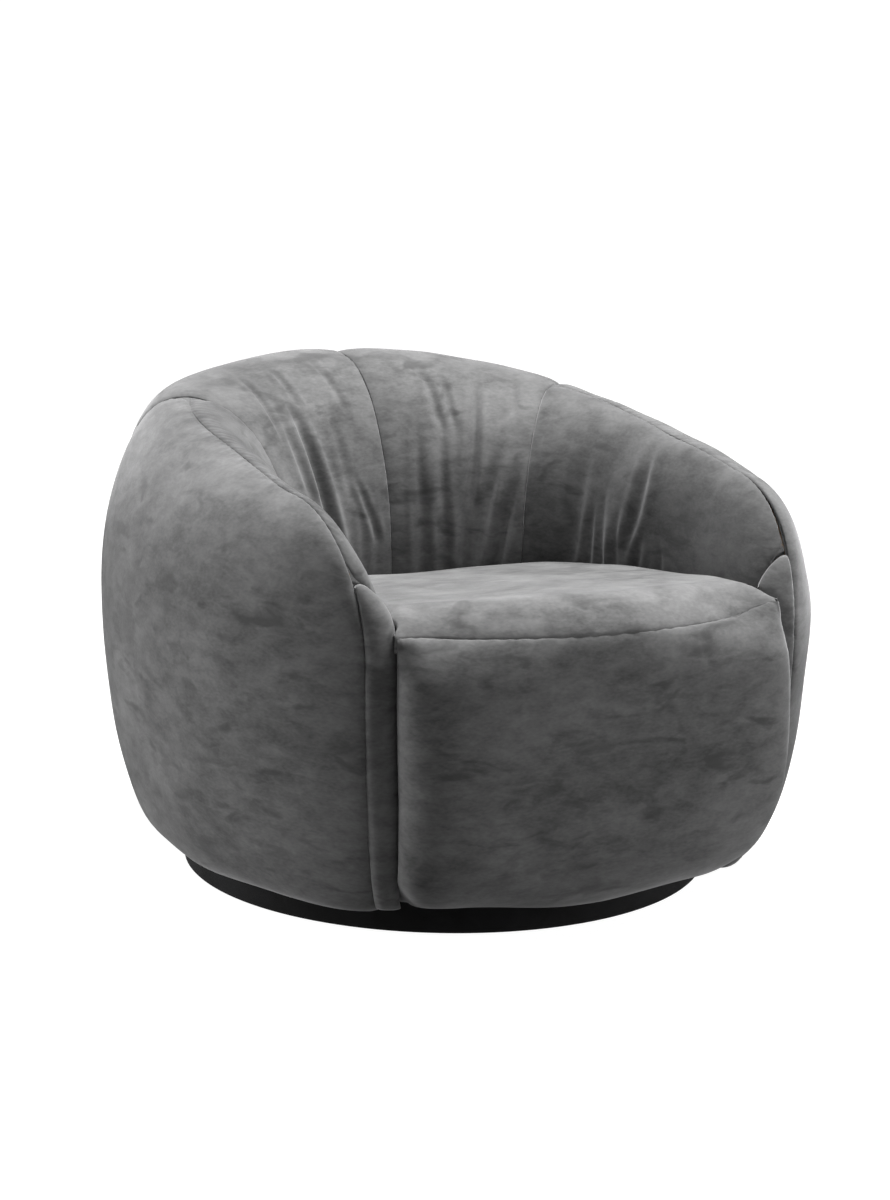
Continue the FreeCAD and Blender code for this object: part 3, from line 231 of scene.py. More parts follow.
def steps(length, fine_first, fine_last, fine=2.5, coarse=8.0, zone=28.0):
    """Shares along a line, close to each other near the ends that carry a seam."""
    along = np.linspace(0, length, STEP_SAMPLES)
    near = np.full_like(along, length)
    if fine_first:
        near = np.minimum(near, along)
    if fine_last:
        near = np.minimum(near, length - along)
    size = mix(fine, coarse, smooth(near / zone))
    count = np.concatenate([[0], np.cumsum((1 / size)[1:] * np.diff(along))])
    return np.interp(np.linspace(0, count[-1], int(round(count[-1])) + 1), count, along) / length


def line_walk(line):
    """Distance walked along a line at each of its points."""
    return np.concatenate([[0], np.cumsum(np.linalg.norm(np.diff(line, axis=0), axis=1))])


def resampled(line, shares):
    """Points at shares of the line's length."""
    walk = line_walk(line)
    return np.stack([np.interp(shares * walk[-1], walk, line[:, axis]) for axis in range(3)], 1)


def rounded(line, reach=9, turns=2):
    """Line with its corners eased, ends kept."""
    fine = resampled(line, np.linspace(0, 1, EASED_POINTS))
    index = np.arange(EASED_POINTS)
    hold = smooth(np.minimum(index, EASED_POINTS - 1 - index) / (2.0 * reach))[:, None]
    for _ in range(turns):
        padded = np.concatenate([np.repeat(fine[:1], reach, 0), fine, np.repeat(fine[-1:], reach, 0)])
        sums = np.cumsum(np.concatenate([np.zeros((1, 3)), padded]), axis=0)
        eased = (sums[2 * reach + 1:] - sums[:-2 * reach - 1]) / (2 * reach + 1)
        fine = mix(fine, eased, hold)
    return fine


def walked(grid, axis):
    """Distance walked along the lines of a grid."""
    gaps = np.linalg.norm(np.diff(grid, axis=axis), axis=2)
    zero = np.zeros((1, grid.shape[1])) if axis == 0 else np.zeros((grid.shape[0], 1))
    return np.concatenate([zero, np.cumsum(gaps, axis=axis)], axis=axis)


def grid_normals(grid):
    across = np.gradient(grid, axis=0)
    along = np.gradient(grid, axis=1)
    normal = np.cross(across, along)
    return normal / np.maximum(np.linalg.norm(normal, axis=2, keepdims=True), 1e-9)


def panel_shares(away_first, away_last, along):
    """Shares across and along a panel, in which its folds are given."""
    return away_first / (away_first + away_last + 1e-9), along / along[:, -1:]


def seam_dip(away, depth=5.0, width=8.0, slump=2.5, reach=34.0):
    """Groove at a seam, and the slump of the stuffing beside it."""
    return depth * np.exp(-away / width) + slump * np.exp(-(away / reach) ** 2)


def puckers(along, away, rng, pitch=17.0, height=0.55, reach=16.0):
    """Small stitch puckers beside a seam."""
    knots = rng.uniform(-PUCKER_WANDER, PUCKER_WANDER, PUCKER_KNOTS)
    wander = np.interp(along, np.linspace(0, along.max(), PUCKER_KNOTS), knots)
    wave = height * np.sin(2 * math.pi * along / pitch + 3 * wander)
    return wave * np.exp(-((away - PUCKER_START) / reach) ** 2)


def lumps(grid, rng, height=0.6, shortest=90.0, longest=260.0):
    """Uneven stuffing, as a sum of long waves."""
    field = np.zeros(grid.shape[:2])
    for _ in range(LUMP_WAVES):
        way = rng.normal(size=3)
        way *= 2 * math.pi / rng.uniform(shortest, longest) / np.linalg.norm(way)
        field += np.sin(grid @ way + rng.uniform(0, 2 * math.pi))
    return field * height / math.sqrt(LUMP_WAVES / 2)


def fold_field(across, along, width_at, folds):
    """Valleys with a ridge each side. A fold runs from one share of the panel to another."""
    field = np.zeros_like(across)
    for start_u, start_v, end_u, end_v, width, depth, bend in folds:
        share = (along - start_v) / (end_v - start_v)
        inside = np.clip(share, 0, 1)
        centre = mix(start_u, end_u, inside) + bend * np.sin(math.pi * inside)
        off = (across - centre) * width_at / mix(FOLD_START_WIDTH * width, width, inside)
        strength = smooth(share / FOLD_FADE_IN) * smooth((FOLD_FADE_END - share) / FOLD_FADE_OUT)
        ridges = np.exp(-(off - RIDGE_PLACE) ** 2) + np.exp(-(off + RIDGE_PLACE) ** 2)
        field += depth * strength * (RIDGE_HEIGHT * ridges - np.exp(-off ** 2))
    return field


def gathers(rng, count, first, last, foot, tall, lean, width, depth):
    """Folds that rise from the seat's edge between two shares of the panel."""
    folds = []
    for index in range(count):
        end = mix(first, last, (index + rng.uniform(0.2, 0.8)) / count)
        rise = tall * rng.uniform(0.45, 1.0)
        folds.append((end + lean * rise * rng.uniform(0.4, 1.3), foot - rise, end, foot + 0.02,
                      width * rng.uniform(0.7, 1.3), depth * rng.uniform(0.5, 1.1),
                      rng.uniform(-0.02, 0.02)))
    return folds


# Meshes

def make_object(name, points, faces):
    mesh = bpy.data.meshes.new(name)
    mesh.from_pydata((points * MM).tolist(), [], faces)
    mesh.validate()
    mesh.shade_smooth()
    piece = bpy.data.objects.new(name, mesh)
    bpy.context.scene.collection.objects.link(piece)
    return piece


def quads(rows, columns, start, flip):
    """Faces of a grid whose first point is at start."""
    faces = []
    for row in range(rows - 1):
        for column in range(columns - 1):
            a = start + row * columns + column
            face = (a, a + columns, a + columns + 1, a + 1)
            faces.append(face[::-1] if flip else face)
    return faces


def closed_panel(name, face, back):
    """Closed mesh between a face grid and a back grid of the same size."""
    rows, columns = face.shape[:2]
    total = rows * columns
    points = np.concatenate([face.reshape(-1, 3), back.reshape(-1, 3)])
    faces = quads(rows, columns, 0, False) + quads(rows, columns, total, True)
    edge = [(row, 0) for row in range(rows)] + [(rows - 1, column) for column in range(1, columns)]
    edge += [(row, columns - 1) for row in range(rows - 2, -1, -1)]
    edge += [(0, column) for column in range(columns - 2, 0, -1)]
    loop = [row * columns + column for row, column in edge]
    for near, far in zip(loop, loop[1:] + loop[:1]):
        faces.append((far, near, near + total, far + total))
    piece = make_object(name, points, faces)
    mesh = bmesh.new()
    mesh.from_mesh(piece.data)
    bmesh.ops.recalc_face_normals(mesh, faces=mesh.faces)
    mesh.to_mesh(piece.data)
    mesh.free()
    return piece


def outward_panel(name, grid, offset, side):
    """Panel from its grid and the offset of its face, mirrored to the left where asked."""
    normal = grid_normals(grid)
    face, back = grid + normal * offset[..., None], grid - normal * COVER
    if side < 0:
        face, back = face * (-1, 1, 1), back * (-1, 1, 1)
        face, back = face[::-1], back[::-1]
    return closed_panel(name, face, back)


def sided(word, side):
    return word + ("_right" if side > 0 else "_left")


def grid_of(lines, shares):
    return np.stack([resampled(rounded(line), shares) for line in lines])


# Back panels, from the hem over the top and down behind the seat

# Each fold: share across and along where it starts and ends, width and depth in mm, and its bend.
BACK_FOLDS = {
    1: [(0.32, 0.68, 0.40, 0.79, 8, 4.0, 0.0), (0.42, 0.68, 0.49, 0.79, 7, 3.0, 0.0),
        (0.62, 0.66, 0.50, 1.0, 10, 8.0, 0.05), (0.26, 0.76, 0.25, 1.0, 10, 5.0, -0.02),
        (0.42, 0.76, 0.44, 1.0, 9, 5.0, -0.03), (0.83, 0.78, 0.59, 1.0, 11, 7.5, 0.0),
        (0.93, 0.80, 0.73, 1.0, 12, 9.0, 0.04), (0.82, 0.66, 0.86, 0.75, 7, 2.5, 0.0)],
    -1: [(0.51, 0.70, 0.52, 0.96, 11, 10.0, 0.06), (0.46, 0.66, 0.50, 0.76, 7, 2.5, 0.0),
         (0.64, 0.65, 0.76, 0.78, 7, 2.5, 0.0), (0.24, 0.66, 0.20, 0.77, 7, 2.0, 0.0),
         (0.29, 0.84, 0.12, 0.93, 7, 3.0, 0.0), (0.66, 0.73, 0.71, 0.86, 8, 2.5, 0.02),
         (0.31, 0.74, 0.32, 0.88, 9, 2.0, 0.01)],
}
# Count, first and last share across, foot and height as shares along, lean, width and depth in mm
BACK_GATHERS = (5, 0.06, 0.94, 0.94, 0.10, 0.0, 7.0, 1.6)
ARM_GATHERS = (4, 0.05, 0.75, 0.82, 0.3, 0.04, 7.0, 1.6)
RIM_SLUMP, SIDE_LUMPS = 4.0, 0.9


def back_panel(side):
    rng = np.random.RandomState(11 + side)
    shares = steps(BACK_PANEL_ACROSS, True, True, coarse=FOLD_SPACING)
    lines = []
    for angle in mix(SEAM_GAP_ANGLE, RADIAL_SEAM - SEAM_GAP_ANGLE, shares):
        outer = placed(outer_profile(angle), station_at_angle(angle))
        inner = swung_line(angle, SEAM_SWING * angle / RADIAL_SEAM)
        lines.append(np.concatenate([outer, inner[1:]]))
    grid = grid_of(lines, steps(BACK_PANEL_ALONG, False, False))[::-1]
    away_last, along = walked(grid, 0), walked(grid, 1)
    away_first = away_last[-1] - away_last
    share_u, share_v = panel_shares(away_first, away_last, along)
    offset = -seam_dip(away_first) - seam_dip(away_last) + lumps(grid, rng)
    offset += puckers(along, away_first, rng) + puckers(along, away_last, rng)
    folds = BACK_FOLDS[side] + gathers(rng, *BACK_GATHERS)
    offset += fold_field(share_u, share_v, away_first + away_last, folds)
    return outward_panel(sided("back_panel", side), grid, offset, side)


def side_panel(side):
    rng = np.random.RandomState(21 + side)
    shares = steps(SIDE_PANEL_ACROSS, True, True)
    lines = []
    for angle in mix(RADIAL_SEAM + SEAM_GAP_ANGLE, ARM_END_ANGLE - SEAM_GAP_ANGLE, shares):
        turn = math.radians(angle)
        lines.append(placed(outer_profile(angle), ((0.0, 0.0), (math.sin(turn), math.cos(turn)))))
    grid = grid_of(lines, steps(SIDE_PANEL_ALONG, False, True))[::-1]
    away_last, along = walked(grid, 0), walked(grid, 1)
    away_first, away_rim = away_last[-1] - away_last, along[:, -1:] - along
    offset = -seam_dip(away_first) - seam_dip(away_last) - seam_dip(away_rim, slump=RIM_SLUMP)
    offset += lumps(grid, rng, SIDE_LUMPS)
    offset += puckers(along, away_first, rng) + puckers(along, away_last, rng)
    offset += puckers(away_last, away_rim, rng)
    return outward_panel(sided("side_panel", side), grid, offset, side)


ARM_FOLDS = [(0.21, 0.18, 0.14, 0.85, 19, 4.3, 0.0), (0.24, 0.44, 0.22, 0.88, 11, 3.1, 0.0),
             (0.44, 0.05, 0.39, 0.65, 14, 4.3, 0.02), (0.46, 0.48, 0.42, 0.8, 11, 3.1, 0.0),
             (0.36, 0.44, 0.35, 0.85, 11, 3.4, -0.01), (0.28, 0.36, 0.28, 0.88, 11, 2.2, 0.0),
             (0.13, 0.2, 0.12, 0.62, 12, 1.6, -0.01), (0.5, 0.5, 0.54, 0.8, 10, 1.9, 0.01)]


def arm_panel(side):
    rng = np.random.RandomState(31 + side)
    length = ARM_TURN_LENGTH + ARM_STRAIGHT_LENGTH
    lines = []
    for walk in steps(length, True, True, coarse=FOLD_SPACING) * length:
        if walk < ARM_TURN_LENGTH:
            share = walk / ARM_TURN_LENGTH
            angle = mix(RADIAL_SEAM + SEAM_GAP_ANGLE, 90.0, share)
            lines.append(swung_line(angle, SEAM_SWING * (1 - share)))
        else:
            depth = MITRE_DEPTH * (walk - ARM_TURN_LENGTH) / ARM_STRAIGHT_LENGTH
            station = station_at_depth(depth)
            lines.append(placed(bowl_profile(station), station))
    grid = grid_of(lines, steps(ARM_PANEL_ALONG, True, False))[::-1]
    away_last, along = walked(grid, 0), walked(grid, 1)
    away_first = away_last[-1] - away_last
    share_u, share_v = panel_shares(away_first, away_last, along)
    offset = -seam_dip(away_first) - seam_dip(away_last) - seam_dip(along, slump=RIM_SLUMP)
    offset += lumps(grid, rng)
    offset += puckers(along, away_first, rng) + puckers(away_first, along, rng)
    offset += puckers(along, away_last, rng)
    folds = ARM_FOLDS + gathers(rng, *ARM_GATHERS)
    offset += fold_field(share_u, share_v, away_first + away_last, folds)
    return outward_panel(sided("arm_panel", side), grid, offset, side)


# Strip that closes the arm front

STRIP_ROUNDNESS, STRIP_DIP, STRIP_DIP_WIDTH = 2.4, 3.2, 4.5
STRIP_MITRE_DIP, STRIP_MITRE_WIDTH, STRIP_MITRE_GAP = 4.0, 6.0, 0.5
STRIP_HEM_DIP, STRIP_HEM_START, STRIP_HEM_REACH = 6.0, 10.0, 20.0
STRIP_TURN_LINES, STRIP_LINES = 40, 100


def strip_edges(height):
    """Outer and inner edge of the strip at a height below its turn, and the way across it."""
    share = (height - HEM_HEIGHT) / (ARM_FRONT_HEIGHT - HEM_HEIGHT)
    rise = min((height - HEM_HEIGHT) / (WAIST_HEIGHT - HEM_HEIGHT), 1.0)
    swell = (1 - (1 - rise) ** LOWER_RISE) ** (1 / LOWER_REACH)
    radius = mix(hem_radius(ARM_END_ANGLE), waist_radius(ARM_END_ANGLE), swell)
    turn = math.radians(ARM_END_ANGLE)
    lean = math.radians(STRIP_LEAN + STRIP_TURN * (1 - share) ** 2)
    outer = np.array([radius * math.sin(turn), radius * math.cos(turn), height])
    across = np.array([-math.cos(lean), -math.sin(lean), 0.0])
    return outer, outer + across * mix(STRIP_HEM_WIDTH, STRIP_WIDTH, min(2 * share, 1.0)), across


def strip_turn_ends(turn, start):
    """Edges of the strip where it turns back over the arm, and the way out from it."""
    out = np.array([0.0, -math.sin(turn), math.cos(turn)])
    half_long = ARM_FRONT_DEPTH - RIM_TURN_DEPTH
    half_high = RIM_TURN_HEIGHT - ARM_FRONT_HEIGHT
    offset, slope = (start - RIM_TURN_DEPTH) / half_long, -math.sin(turn) / half_long
    square = slope ** 2 + (math.cos(turn) / half_high) ** 2
    reach = (-offset * slope + math.sqrt((offset * slope) ** 2 - square * (offset ** 2 - 1))) / square
    foot = np.array([0.0, start, ARM_FRONT_HEIGHT])
    outer = foot + out * reach
    outer[0] = rim_x(outer[1])
    drop = rim_height(MITRE_DEPTH) - STRIP_MITRE_DROP - ARM_FRONT_HEIGHT
    inner_end = strip_edges(ARM_FRONT_HEIGHT)[1]
    inner = foot + out / math.hypot(math.sin(turn) / (start - inner_end[1]), math.cos(turn) / drop)
    inner[0] = inner_end[0]
    return outer, inner, out


def strip_panel(side):
    rng = np.random.RandomState(41 + side)
    across = steps(STRIP_ACROSS, True, True, fine=1.6, coarse=4.0, zone=12.0)
    ends = []
    for turn in np.linspace(0, QUARTER, STRIP_TURN_LINES):
        outer, inner, out = strip_turn_ends(turn, MITRE_DEPTH - STRIP_MITRE_GAP)
        ends.append((outer, inner, out, STRIP_CROWN + STRIP_MITRE_CROWN * math.cos(turn)))
    hem = HEM_HEIGHT + HEM_LIFT
    for height in np.linspace(ARM_FRONT_HEIGHT, hem, STRIP_LINES)[1:]:
        outer, inner, way = strip_edges(height)
        ends.append((outer, inner, np.array([-way[1], way[0], 0.0]), STRIP_CROWN))
    grid, outs = [], []
    for outer, inner, out, crown in ends:
        bulge = crown * (1 - np.abs(2 * across - 1) ** STRIP_ROUNDNESS)
        grid.append(outer + (inner - outer) * across[:, None] + out * bulge[:, None])
        outs.append(np.repeat(out[None], len(across), 0))
    grid, outs = np.array(grid), np.array(outs)
    along, walk = walked(grid, 1), walked(grid, 0)
    away_outer, away_inner = along, along[:, -1:] - along
    offset = -STRIP_DIP * np.exp(-away_outer / STRIP_DIP_WIDTH)
    offset -= STRIP_DIP * np.exp(-away_inner / STRIP_DIP_WIDTH)
    offset -= STRIP_MITRE_DIP * np.exp(-walk / STRIP_MITRE_WIDTH)
    offset += puckers(walk, away_outer, rng, pitch=15.0, height=0.5, reach=10.0)
    offset += lumps(grid, rng, height=0.5, shortest=50.0, longest=120.0)
    offset -= STRIP_HEM_DIP * smooth((hem + STRIP_HEM_START - grid[..., 2]) / STRIP_HEM_REACH)
    face, back = grid + outs * offset[..., None], grid - outs * COVER
    if side < 0:
        face, back = face * (-1, 1, 1), back * (-1, 1, 1)
    else:
        face, back = face[::-1], back[::-1]
    return closed_panel(sided("arm_strip", side), face, back)


# Seat

EDGE_POINTS, FRONT_POINTS, SEAM_POINTS, LOW_LINES, HIGH_LINES = 10, 80, 300, 40, 44
# The seam's ends turn into the gap: each point's way inwards and backwards from the corner
SEAM_END_TURN = [(9.0, 20.0), (8.5, 13.0), (3.5, 6.0)]
SEAM_OVERLAP, FRONT_LUMP_MARGIN = 1.0, 40.0
FRONT_MIDDLE = (0.0, -300.0, 250.0)


def seat_surface(x, y):
    """Crowned seat that rises towards the front."""
    level = SEAT_LEVEL - SEAT_PITCH * y
    crown = SEAT_FRONT_CROWN * (1 - (x / SEAT_HALF_WIDTH) ** 2) * smooth(-y / SEAT_CROWN_REACH)
    dish = SEAT_REAR_DISH * np.clip(1 - (x / SEAT_DISH_HALF) ** 2, 0, 1)
    return level + crown - dish * smooth((y - SEAT_DISH_START) / SEAT_DISH_REACH)


def seat_seam(x):
    """Front seam of the seat: an arc in plan that flattens and rises at the corners."""
    bow = SEAM_BOW * np.clip(1 - (x / SEAM_ARC_HALF) ** 2, 0, 1) ** SEAM_BOW_POWER
    rise = np.where(x > 0, SEAM_RISE_RIGHT, SEAM_RISE_LEFT)
    rise = rise * smooth((np.abs(x) - SEAM_RISE_START) / SEAM_RISE_REACH)
    return SEAM_CORNER_DEPTH - bow, SEAM_HEIGHT + rise


def seat_top_panel():
    rng = np.random.RandomState(51)
    share_u = steps(2 * SEAM_HALF, True, True, fine=2.2, coarse=9.0)
    share_v = steps(SEAT_ALONG, True, True, fine=2.2, coarse=9.0)
    front_x = mix(-SEAM_HALF, SEAM_HALF, share_u)
    front = np.stack([front_x, seat_seam(front_x)[0]], 1)
    side_reach, back_reach = BOWL_SIDE - SEAT_SIDE_GAP, BOWL_BACK - SEAT_SIDE_GAP
    cosine = np.cos(math.pi * (1 - share_u))
    sine = np.clip(np.sin(math.pi * (1 - share_u)), 0, 1)
    back = np.stack([side_reach * np.sign(cosine) * np.abs(cosine) ** (2 / BOWL_POWER),
                     back_reach * sine ** (2 / BOWL_POWER)], 1)
    side_y = mix(front[0, 1], 0.0, share_v)
    flare = smooth((side_y - front[0, 1]) / SEAT_FLARE)
    side_x = np.array([mix(SEAM_HALF, bowl_x(y) - SEAT_SIDE_GAP, ease)
                       for y, ease in zip(side_y, flare)])
    left, right = np.stack([-side_x, side_y], 1), np.stack([side_x, side_y], 1)
    u, v = share_u[:, None, None], share_v[None, :, None]
    plan = (1 - v) * front[:, None] + v * back[:, None] + (1 - u) * left[None] + u * right[None]
    plan -= (1 - u) * (1 - v) * front[0] + u * (1 - v) * front[-1]
    plan -= (1 - u) * v * back[0] + u * v * back[-1]
    x, y = plan[..., 0], plan[..., 1]
    surface, seam = seat_surface(x, y), seat_seam(x)[1]
    grid = np.stack([x, y, surface], 2)
    walk_u, walk_v = walked(grid, 0), walked(grid, 1)
    sides = np.minimum(walk_u, walk_u[-1:] - walk_u)
    around = np.minimum(sides, walk_v[:, -1:] - walk_v)
    roll = np.clip(1 - walk_v / SEAT_FRONT_ROLL, 0, 1)
    front_drop = (surface - seam) * roll ** SEAT_FRONT_ROLL_POWER
    side_drop = SEAT_SIDE_DROP * np.clip(1 - around / SEAT_SIDE_ROLL, 0, 1) ** 2
    grid[..., 2] -= (front_drop ** 3 + side_drop ** 3) ** (1 / 3)
    offset = -SEAM_DIP * np.exp(-walk_v / SEAM_DIP_WIDTH)
    offset += puckers(walk_u, walk_v, rng, pitch=14.0, height=0.7, reach=11.0)
    offset += lumps(grid, rng, height=1.1, shortest=110.0, longest=300.0)
    grid[..., 2] += offset
    return closed_panel("seat_top", grid, grid - (0, 0, SEAT_THICKNESS))


def front_nose(height):
    """How far the middle of the seat front reaches forward."""
    if height > FRONT_NOSE_HEIGHT:
        share = (height - FRONT_NOSE_HEIGHT) / (SEAM_HEIGHT - FRONT_NOSE_HEIGHT)
        swell = math.sqrt(max(1 - share ** FRONT_UPPER_POWER, 0.0))
        return mix(SEAM_NOSE, FRONT_NOSE_REACH, swell)
    share = (FRONT_NOSE_HEIGHT - height) / (FRONT_NOSE_HEIGHT - HEM_HEIGHT)
    swell = (1 - share ** FRONT_LOWER_POWER) ** FRONT_LOWER_EASE
    return mix(FRONT_HEM_REACH, FRONT_NOSE_REACH, swell)


def front_side(height, side):
    """Widest point of the seat front beside the strip, and the point behind it in the gap."""
    edge = strip_edges(min(height, ARM_FRONT_HEIGHT))[1]
    bulge = FRONT_BULGE_LEFT
    if side > 0:
        reach = BULGE_REACH_UP if height > BULGE_HEIGHT else BULGE_REACH_DOWN
        bulge = FRONT_BULGE_RIGHT * math.exp(-((height - BULGE_HEIGHT) / reach) ** 2)
    bulge -= FRONT_NARROWING * float(smooth((NARROWING_START - height) / NARROWING_REACH))
    tuck = FRONT_TUCK * float(smooth((TUCK_START - height) / TUCK_REACH))
    wide = np.array([edge[0] + bulge, edge[1] - FRONT_AHEAD + tuck])
    return wide, np.array([edge[0] - GAP_INSIDE, edge[1] - GAP_BEHIND + tuck])


def front_line(height, side, depth_in=0.0):
    """Half of the seat front at a height, from the gap beside the strip to the middle."""
    wide, tucked = front_side(height, side)
    line = [(tucked[0] - depth_in, tucked[1] + GAP_DEPTH)]
    for turn in np.linspace(QUARTER, 0, EDGE_POINTS):
        line.append((mix(tucked[0], wide[0], math.cos(turn)) - depth_in,
                     mix(wide[1], tucked[1], math.sin(turn))))
    reach, depth = wide[0] - depth_in, front_nose(height) + wide[1] - depth_in
    for turn in np.linspace(0, QUARTER, FRONT_POINTS)[1:]:
        line.append((reach * max(math.cos(turn), 0.0) ** (2 / FRONT_POWER),
                     wide[1] - depth * math.sin(turn) ** (2 / FRONT_POWER)))
    return np.array([(side * x, y, height) for x, y in line])


def front_seam():
    """Seam at the top of the seat front, with the turn at each end that goes into the gap."""
    x = mix(-SEAM_HALF, SEAM_HALF, np.linspace(0, 1, SEAM_POINTS))
    y, z = seat_seam(x)
    inwards, backwards = np.array(SEAM_END_TURN).T
    x = np.concatenate([inwards - SEAM_HALF, x, (SEAM_HALF - inwards)[::-1]])
    y = np.concatenate([y[0] + backwards, y, y[-1] + backwards[::-1]])
    z = np.concatenate([np.repeat(z[0], len(inwards)), z, np.repeat(z[-1], len(inwards))])
    return np.stack([x, y, z - SEAM_OVERLAP], 1)


def front_net(heights, shares, depth_in):
    """Lines of the seat front, or of its back where depth_in is the cover's thickness."""
    seam = front_seam() + (0.0, depth_in * FRONT_JOIN_SHARE, 0.0)
    lines = []
    for height in heights:
        right, left = (resampled(front_line(height, side, depth_in), shares) for side in (1, -1))
        line = np.concatenate([left, right[-2::-1]])
        join = smooth((height - FRONT_JOIN_HEIGHT) / (SEAM_HEIGHT - FRONT_JOIN_HEIGHT))
        walk = line_walk(line)
        lines.append(mix(line, resampled(seam, walk / walk[-1]), float(join) ** FRONT_JOIN_POWER))
    net = np.array(lines)
    low = np.clip(1 - (net[..., 2] - HEM_HEIGHT) / HEM_LIFT_HEIGHT, 0, 1) ** HEM_LIFT_POWER
    aside = smooth((np.abs(net[..., 0]) - HEM_LIFT_START) / HEM_LIFT_REACH)
    net[..., 2] += HEM_LIFT * low * aside
    return net


def seat_front_panel():
    rng = np.random.RandomState(61)
    low = mix(HEM_HEIGHT, FRONT_NOSE_HEIGHT, 1 - np.cos(np.linspace(0, QUARTER, LOW_LINES)))
    high = np.sin(np.linspace(0, QUARTER, HIGH_LINES))[1:]
    high = mix(FRONT_NOSE_HEIGHT, SEAM_HEIGHT - SEAM_OVERLAP, high)
    heights = np.concatenate([low, high])
    shares = steps(FRONT_HALF_ACROSS, True, False, fine=1.8, coarse=9.0, zone=80.0)
    grid, back = (front_net(heights, shares, depth_in) for depth_in in (0.0, COVER))
    along, up = walked(grid, 1), walked(grid, 0)
    top, ends = up[-1:] - up, np.minimum(along, along[:, -1:] - along)
    inside = smooth(np.minimum(np.minimum(top, up), ends) / FRONT_LUMP_MARGIN)
    offset = -SEAM_DIP * np.exp(-top / SEAM_DIP_WIDTH)
    offset += puckers(along, top, rng, pitch=14.0, height=0.7, reach=13.0)
    offset += lumps(grid, rng, height=0.9, shortest=110.0, longest=320.0) * inside
    normal = grid_normals(grid)
    outwards = np.sum(normal * (grid - FRONT_MIDDLE), axis=2).mean()
    normal = normal if outwards > 0 else -normal
    return closed_panel("seat_front", grid + normal * offset[..., None], back)


# Materials

PILE_DARK, PILE_LIGHT, CLOTH_SPECULAR = 0.066, 0.225, 0.1


def new_material(name):
    material = bpy.data.materials.new(name)
    material.use_nodes = True
    tree = material.node_tree
    return material, tree, tree.nodes["Principled BSDF"]


def noise_node(tree, scale, detail, distortion=0.0, stretch=(1, 1, 1), turn=(0, 0, 0)):
    coords = tree.nodes.new("ShaderNodeTexCoord")
    mapping = tree.nodes.new("ShaderNodeMapping")
    mapping.inputs["Scale"].default_value = stretch
    mapping.inputs["Rotation"].default_value = turn
    texture = tree.nodes.new("ShaderNodeTexNoise")
    texture.inputs["Scale"].default_value = scale
    texture.inputs["Detail"].default_value = detail
    texture.inputs["Distortion"].default_value = distortion
    tree.links.new(coords.outputs["Object"], mapping.inputs["Vector"])
    tree.links.new(mapping.outputs["Vector"], texture.inputs["Vector"])
    return texture.outputs["Fac"]


def ranged(tree, value, low, high, to_low=0, to_high=1):
    node = tree.nodes.new("ShaderNodeMapRange")
    numbers = {"From Min": low, "From Max": high, "To Min": to_low, "To Max": to_high}
    for name, number in numbers.items():
        node.inputs[name].default_value = number
    tree.links.new(value, node.inputs["Value"])
    return node.outputs["Result"]


def combined(tree, first, second, operation):
    node = tree.nodes.new("ShaderNodeMath")
    node.operation = operation
    for socket, value in zip(node.inputs, (first, second)):
        if isinstance(value, (int, float)):
            socket.default_value = value
        else:
            tree.links.new(value, socket)
    return node.outputs["Value"]


def weighted(tree, *layers):
    """Sum of values, each times its weight."""
    total = None
    for value, weight in layers:
        part = combined(tree, value, weight, "MULTIPLY")
        total = part if total is None else combined(tree, total, part, "ADD")
    return total


def coloured(tree, share, dark, light):
    node = tree.nodes.new("ShaderNodeMix")
    node.data_type = "RGBA"
    node.inputs["A"].default_value = (*dark, 1)
    node.inputs["B"].default_value = (*light, 1)
    tree.links.new(share, node.inputs["Factor"])
    return node.outputs["Result"]


def bumped(tree, shader, height, strength, distance):
    bump = tree.nodes.new("ShaderNodeBump")
    bump.inputs["Strength"].default_value = strength
    bump.inputs["Distance"].default_value = distance
    tree.links.new(height, bump.inputs["Height"])
    tree.links.new(bump.outputs["Normal"], shader.inputs["Normal"])


def velvet(name, level):
    """Cut-pile cloth; level scales its colour, painting light and shade on a group of panels."""
    material, tree, shader = new_material(name)
    # Both pile colours scale with level: painted light above 1, painted shade below 1.
    dark, light = (PILE_DARK * level,) * 3, (PILE_LIGHT * level,) * 3
    blotch = ranged(tree, noise_node(tree, 8.0, 5.0, 0.5, (1, 1, 1.3)), 0.34, 0.66)
    brush = noise_node(tree, 34.0, 6.0, 0.35, (0.8, 0.8, 1.7), (0.12, 0.08, 0))
    brush = ranged(tree, brush, 0.32, 0.66)
    fine = ranged(tree, noise_node(tree, 210.0, 3.0, 0.2, (0.7, 0.7, 1.5)), 0.3, 0.7)
    marks = noise_node(tree, 19.0, 6.0, 0.5, (0.75, 0.75, 2.0), (0, 0.06, 0.4))
    marks = ranged(tree, marks, 0.56, 0.70, 1.0, 0.25)
    nap = weighted(tree, (blotch, 0.42), (brush, 0.36), (fine, 0.22))
    nap = combined(tree, nap, marks, "MULTIPLY")
    tree.links.new(coloured(tree, nap, dark, light), shader.inputs["Base Color"])
    shader.inputs["Roughness"].default_value = 0.82
    shader.inputs["Specular IOR Level"].default_value = CLOTH_SPECULAR
    shader.inputs["Sheen Weight"].default_value = 0.45
    shader.inputs["Sheen Roughness"].default_value = 0.4
    shader.inputs["Sheen Tint"].default_value = (0.8, 0.8, 0.81, 1)
    height = weighted(tree, (noise_node(tree, 900.0, 2.0), 0.35), (brush, 0.9))
    bumped(tree, shader, height, 0.3, 0.0008)
    return material


